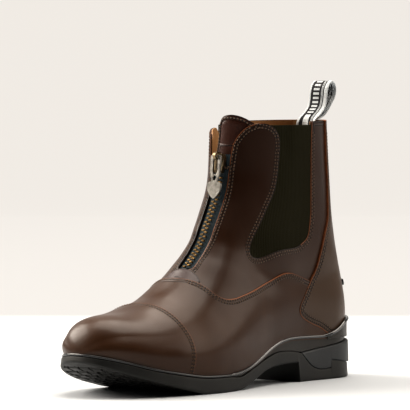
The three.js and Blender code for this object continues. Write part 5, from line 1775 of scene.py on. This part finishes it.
# The midsole's cup behind the heel, on the last's form, and the rest for a spur strap

CUP_EDGE = table("along up", (-0.10, 1.34), (0.04, 1.33), (0.086, 1.285), (0.134, 1.08), (0.165, 1.0))
cup_edge = curve_through(along(CUP_EDGE), CUP_EDGE["up"] * SEAT_HEIGHT)
CUP_FRONT = 46.0
CUP_LIFT = COUNTER_STEP + GAP + 1.8
cup_keep = least(cup_edge(skin.x) - skin.z, skin.z - SEAT_HEIGHT + 3, CUP_FRONT + 0.5 - skin.x)
cut_piece("heel_cup", skin, lifted(CUP_LIFT), cup_keep, 1.9,
          [MIDSOLE_RUBBER, MIDSOLE_RUBBER], ["midsole"], inner=True, rounding=0.7)


def swept_tube(name, path, radius, material, replaces, sides=12):
    """A tube of round section along a path, its ends drawn to points."""
    way = directions(path)
    across = unit(np.cross(way, [0, 0, 1.0]))
    above = np.cross(across, way)
    turn = np.linspace(0, 2 * np.pi, sides, endpoint=False)
    ends = np.minimum(np.arange(len(path)), np.arange(len(path))[::-1])
    size = radius * np.sqrt(clamp(ends / 6))[:, None, None]
    level, upright = np.cos(turn)[:, None], np.sin(turn)[:, None]
    points = path[:, None] + size * (across[:, None] * level + above[:, None] * upright)
    faces = grid_faces(len(path), sides, wrap=True)
    return finished(name, points.reshape(-1, 3), faces, [material], replaces=replaces)


BEAD_RADIUS = 1.3
BEAD_INSET = 1.5
BEAD_DROP = 0.9
BEAD_LIFT = 3.0
BEAD_STEP = 0.8
BEAD_BELL = 3.5
BELL_REACH = 8


def rand_bead():
    """The glossy bead along the midsole's top: beside the sole's outline from the ball to the heel, then up
    the cup's edge and round the back, the corners averaged away."""
    x = np.linspace(WELT_FROM * SOLE_LENGTH + 4, CUP_FRONT, 120)
    y = plan_point(x / SOLE_LENGTH, 1, BEAD_INSET)[1]
    flat = np.stack([x, y, feather(x) - BEAD_DROP], axis=-1)
    rear = CUP_FRONT - CUP_FRONT * np.sin(np.linspace(0, np.pi / 2, 90))
    rear = np.maximum(rear, back_line(1.34 * SEAT_HEIGHT) + 0.02)
    points, normals = on_side(rear, cup_edge(rear), 1)
    cup = points + normals * BEAD_LIFT
    lateral = np.concatenate([flat, cup[1:]])
    medial_flat = flat.copy()
    medial_flat[:, 1] = 2 * plan_middle(x / SOLE_LENGTH) - flat[:, 1]
    points, normals = on_side(rear, cup_edge(rear), -1)
    medial = np.concatenate([medial_flat, (points + normals * BEAD_LIFT)[1:]])
    path = np.concatenate([lateral, medial[::-1]])
    reach = lengths(path)
    path = placed(np.arange(0, reach[-1], BEAD_STEP), reach, path)
    bell = np.exp(-0.5 * (np.arange(-BELL_REACH, BELL_REACH + 1) / BEAD_BELL) ** 2)
    padded = np.pad(path, ((BELL_REACH, BELL_REACH), (0, 0)), mode="reflect", reflect_type="odd")
    path = np.stack([np.convolve(padded[:, k], bell / bell.sum(), "valid") for k in range(3)], axis=-1)
    swept_tube("midsole_bead", path, BEAD_RADIUS, BEAD_RUBBER, ["midsole"])


rand_bead()
REST_HALF = 23.0
REST_HIGH = 70.3
REST_RISE = 2.1
rest_keep = least(REST_HALF - np.abs(skin.y), REST_RISE - np.abs(skin.z - REST_HIGH), 60 - skin.x)
cut_piece("spur_rest", skin, lifted(COUNTER_STEP + GAP + 2.2), rest_keep, 2.3,
          [GLOSS_RUBBER, GLOSS_RUBBER], ["spur_rest"], inner=True, rounding=0.6)

# Insole, dished a little, inside the upper


def insole():
    """A board across the foot's half width less the wall, its top raised by the side's share squared."""
    x = np.linspace(9, 270, 200)
    side = np.linspace(-1, 1, 41)
    high = feather(x) + 4
    half = np.sqrt(np.maximum(half_squared(x, high), 0.01)) - WALL - GAP
    half = np.maximum(half, 0.2)
    middle = section_middle(x, high)
    y = middle[:, None] + half[:, None] * side
    top = high[:, None] + 0.8 * side**2 * clamp(half / 12)[:, None] - 0.3
    low = (feather(x) + 0.4)[:, None] + 0 * side
    grid_x = np.broadcast_to(x[:, None], y.shape)
    upper_face = np.stack([grid_x, y, top], axis=-1)
    lower_face = np.stack([grid_x, y, low], axis=-1)[:, ::-1]
    points = capped(np.concatenate([upper_face, lower_face], axis=1))
    faces = grid_faces(points.shape[0], points.shape[1], wrap=True)[:, ::-1]
    finished("insole", points.reshape(-1, 3), faces, [LINING], replaces=["insole"])


insole()

# Pull loop: webbing carried along its path, curved with the heel where it is sewn in

WEBBING_HALF = 8.5
WEBBING_THICKNESS = 1.3
LOOP_REACH = 18.0
LOOP_RISE = 31.0
LOOP = table(
    "forward up",
    (0.180, -0.380),
    (0.150, -0.100),
    (0.100, 0.060),
    (0.011, 0.139),
    (-0.217, 0.245),
    (-0.433, 0.374),
    (-0.535, 0.548),
    (-0.575, 0.726),
    (-0.660, 0.870),
    (-0.820, 0.972),
    (-0.975, 0.980),
    (-1.110, 0.900),
    (-1.145, 0.765),
    (-1.072, 0.613),
    (-0.900, 0.484),
    (-0.650, 0.310),
    (-0.400, 0.180),
    (-0.228, 0.122),
    (-0.040, 0.092),
)


def pull_loop():
    """A rounded strip swept along the loop's line. Where it is sewn in, it follows the heel's curve, by the
    square of the distance from its middle."""
    root = float(back_line(BOOT_HEIGHT)) + WALL
    line = smooth_line(root + LOOP["forward"] * LOOP_REACH, BOOT_HEIGHT + LOOP["up"] * LOOP_RISE, 200)
    way = directions(line)
    out = np.stack([-way[:, 1], way[:, 0]], axis=-1)
    reach = lengths(line)
    turn = np.linspace(0, 2 * np.pi, 40, endpoint=False)
    y = np.sign(np.cos(turn)) * np.abs(np.cos(turn)) ** 0.35 * WEBBING_HALF
    face = np.sign(np.sin(turn)) * np.abs(np.sin(turn)) ** 0.35 * WEBBING_THICKNESS / 2
    sewn = 1 - ease((line[:, 1] - BOOT_HEIGHT) / 6)
    sag = 0.043 * y**2
    x = line[:, :1] + out[:, :1] * face + sewn[:, None] * sag
    z = line[:, 1:] + out[:, 1:] * face
    points = capped(np.stack([x, np.broadcast_to(y, x.shape), z], axis=-1))
    uv = np.stack([np.broadcast_to(y, x.shape), np.broadcast_to(reach[:, None], x.shape)], axis=-1)
    uv = np.concatenate([uv[:1], uv, uv[-1:]])
    faces = grid_faces(points.shape[0], points.shape[1], wrap=True)
    finished("pull_loop", points.reshape(-1, 3), faces, [WEBBING], replaces=["pull_loop"],
             uv=uv.reshape(-1, 2))


pull_loop()

# Studio: pale floor running up into a backdrop, and soft lights

FLOOR_BEHIND = 730.0
FLOOR_NEAR = -6000.0
WALL_AT = 3200.0
WALL_HIGH = 2600.0
COVE = 500.0
ROLL_HALF = 4000.0
GLOW_SOFT = 0.04
GLOW_HALF = (0.55, 1.0)
FLOOR_TONE = (0.49, 0.515, 0.54, 1)
DARK_TONE = (0.02, 0.02, 0.02, 1)
NO_GLOW = (0.0, 0.0, 0.0, 1)
GLOW = (0.705, 0.672, 0.632, 1)


def backdrop():
    """A floor that turns up into a wall far behind the boot: one sheet, its profile a line, a quarter
    circle and a line, swept sideways. From behind the boot on it glows evenly, as a lit paper roll does."""
    level = -np.array([turn_sin, turn_cos])
    turn = np.linspace(0, np.pi / 2, 24)
    cove = WALL_AT + COVE * np.sin(turn)
    reach = np.concatenate([[FLOOR_NEAR, -1000, 0, 1000], cove, [WALL_AT + COVE]])
    height = np.concatenate([[0, 0, 0, 0], COVE * (1 - np.cos(turn)), [WALL_HIGH]])
    across = np.linspace(-ROLL_HALF, ROLL_HALF, 9)
    sideways = np.array([-turn_cos, turn_sin])
    base = CAMERA_AIM[:2]
    x = base[0] + level[0] * reach[:, None] + sideways[0] * across
    y = base[1] + level[1] * reach[:, None] + sideways[1] * across
    z = np.broadcast_to(height[:, None], x.shape)
    points = np.stack([x + ORIGIN_X, y, z], axis=-1).reshape(-1, 3) * MM
    mesh = bpy.data.meshes.new("studio_floor")
    mesh.from_pydata(points.tolist(), [], grid_faces(len(reach), len(across)).tolist())
    mesh.polygons.foreach_set("use_smooth", np.ones(len(mesh.polygons), bool))
    material, tree, shader, place = new_material(
        "studio floor", Roughness=0.85, Specular_IOR_Level=0.1, Emission_Strength=1.0
    )
    start_point = (base + np.array([ORIGIN_X, 0])) * MM
    moved = node(tree, "ShaderNodeVectorMath", {"operation": "SUBTRACT"})
    tree.links.new(place, moved.inputs[0])
    moved.inputs[1].default_value = (start_point[0], start_point[1], 0)
    shares = []
    for way in (level, sideways):
        dot = node(tree, "ShaderNodeVectorMath", {"operation": "DOT_PRODUCT"})
        tree.links.new(moved.outputs[0], dot.inputs[0])
        dot.inputs[1].default_value = (way[0], way[1], 0)
        shares.append(dot.outputs["Value"])
    behind = map_range(tree, shares[0], FLOOR_BEHIND * MM - GLOW_SOFT, FLOOR_BEHIND * MM + GLOW_SOFT)
    middle = map_range(tree, math_node(tree, "ABSOLUTE", shares[1]), *GLOW_HALF, 1.0, 0.0)
    lit = math_node(tree, "MULTIPLY", behind, middle)
    own = mix_colour(tree, lit, FLOOR_TONE, DARK_TONE)
    glow = mix_colour(tree, lit, NO_GLOW, GLOW)
    tree.links.new(own, shader.inputs["Base Color"])
    tree.links.new(glow, shader.inputs["Emission Color"])
    mesh.materials.append(material)
    floor = bpy.data.objects.new("studio_floor", mesh)
    bpy.context.scene.collection.objects.link(floor)


def soft_light(name, spot, size, power, aim=(0.1, 0.0, 0.08), colour=(1, 1, 1)):
    """A rectangular softbox at a spot, in metres, turned towards its aim."""
    data = bpy.data.lights.new(name, "AREA")
    data.shape = "RECTANGLE"
    data.size, data.size_y = size
    data.energy = power
    data.color = colour
    light = bpy.data.objects.new(name, data)
    light.location = spot
    way = Vector(aim) - Vector(spot)
    light.rotation_euler = way.to_track_quat("-Z", "Y").to_euler()
    bpy.context.scene.collection.objects.link(light)


backdrop()


def from_camera(rightwards, upwards, nearer):
    """A place given from the boot's middle, in metres, as the camera sees it."""
    level = np.array([turn_sin, turn_cos, 0])
    spot = np.array([0.1, 0, 0.08]) + right * rightwards + level * nearer + np.array([0, 0, upwards])
    return tuple(spot)


def around(turn, rise, reach):
    """A place at an angle round the boot, to the right of the camera, and an angle above the floor."""
    turn, rise = math.radians(turn), math.radians(rise)
    return from_camera(reach * math.sin(turn) * math.cos(rise), reach * math.sin(rise),
                       reach * math.cos(turn) * math.cos(rise))


WARM = (1.0, 0.92, 0.83)
soft_light("side", around(-112, 33, 3.0), (2.5, 1.9), 172, colour=WARM)
soft_light("top", around(150, 77, 3.2), (3.4, 3.0), 190, colour=WARM)
soft_light("right", around(98, 26, 3.6), (2.8, 2.4), 52, colour=WARM)
world = bpy.data.worlds.new("studio")
world.use_nodes = True
world.node_tree.nodes["Background"].inputs[0].default_value = (1.0, 0.97, 0.94, 1)
world.node_tree.nodes["Background"].inputs[1].default_value = 0.03
bpy.context.scene.world = world
bpy.context.scene.view_settings.view_transform = "Standard"
bpy.context.scene.view_settings.look = "Medium High Contrast"
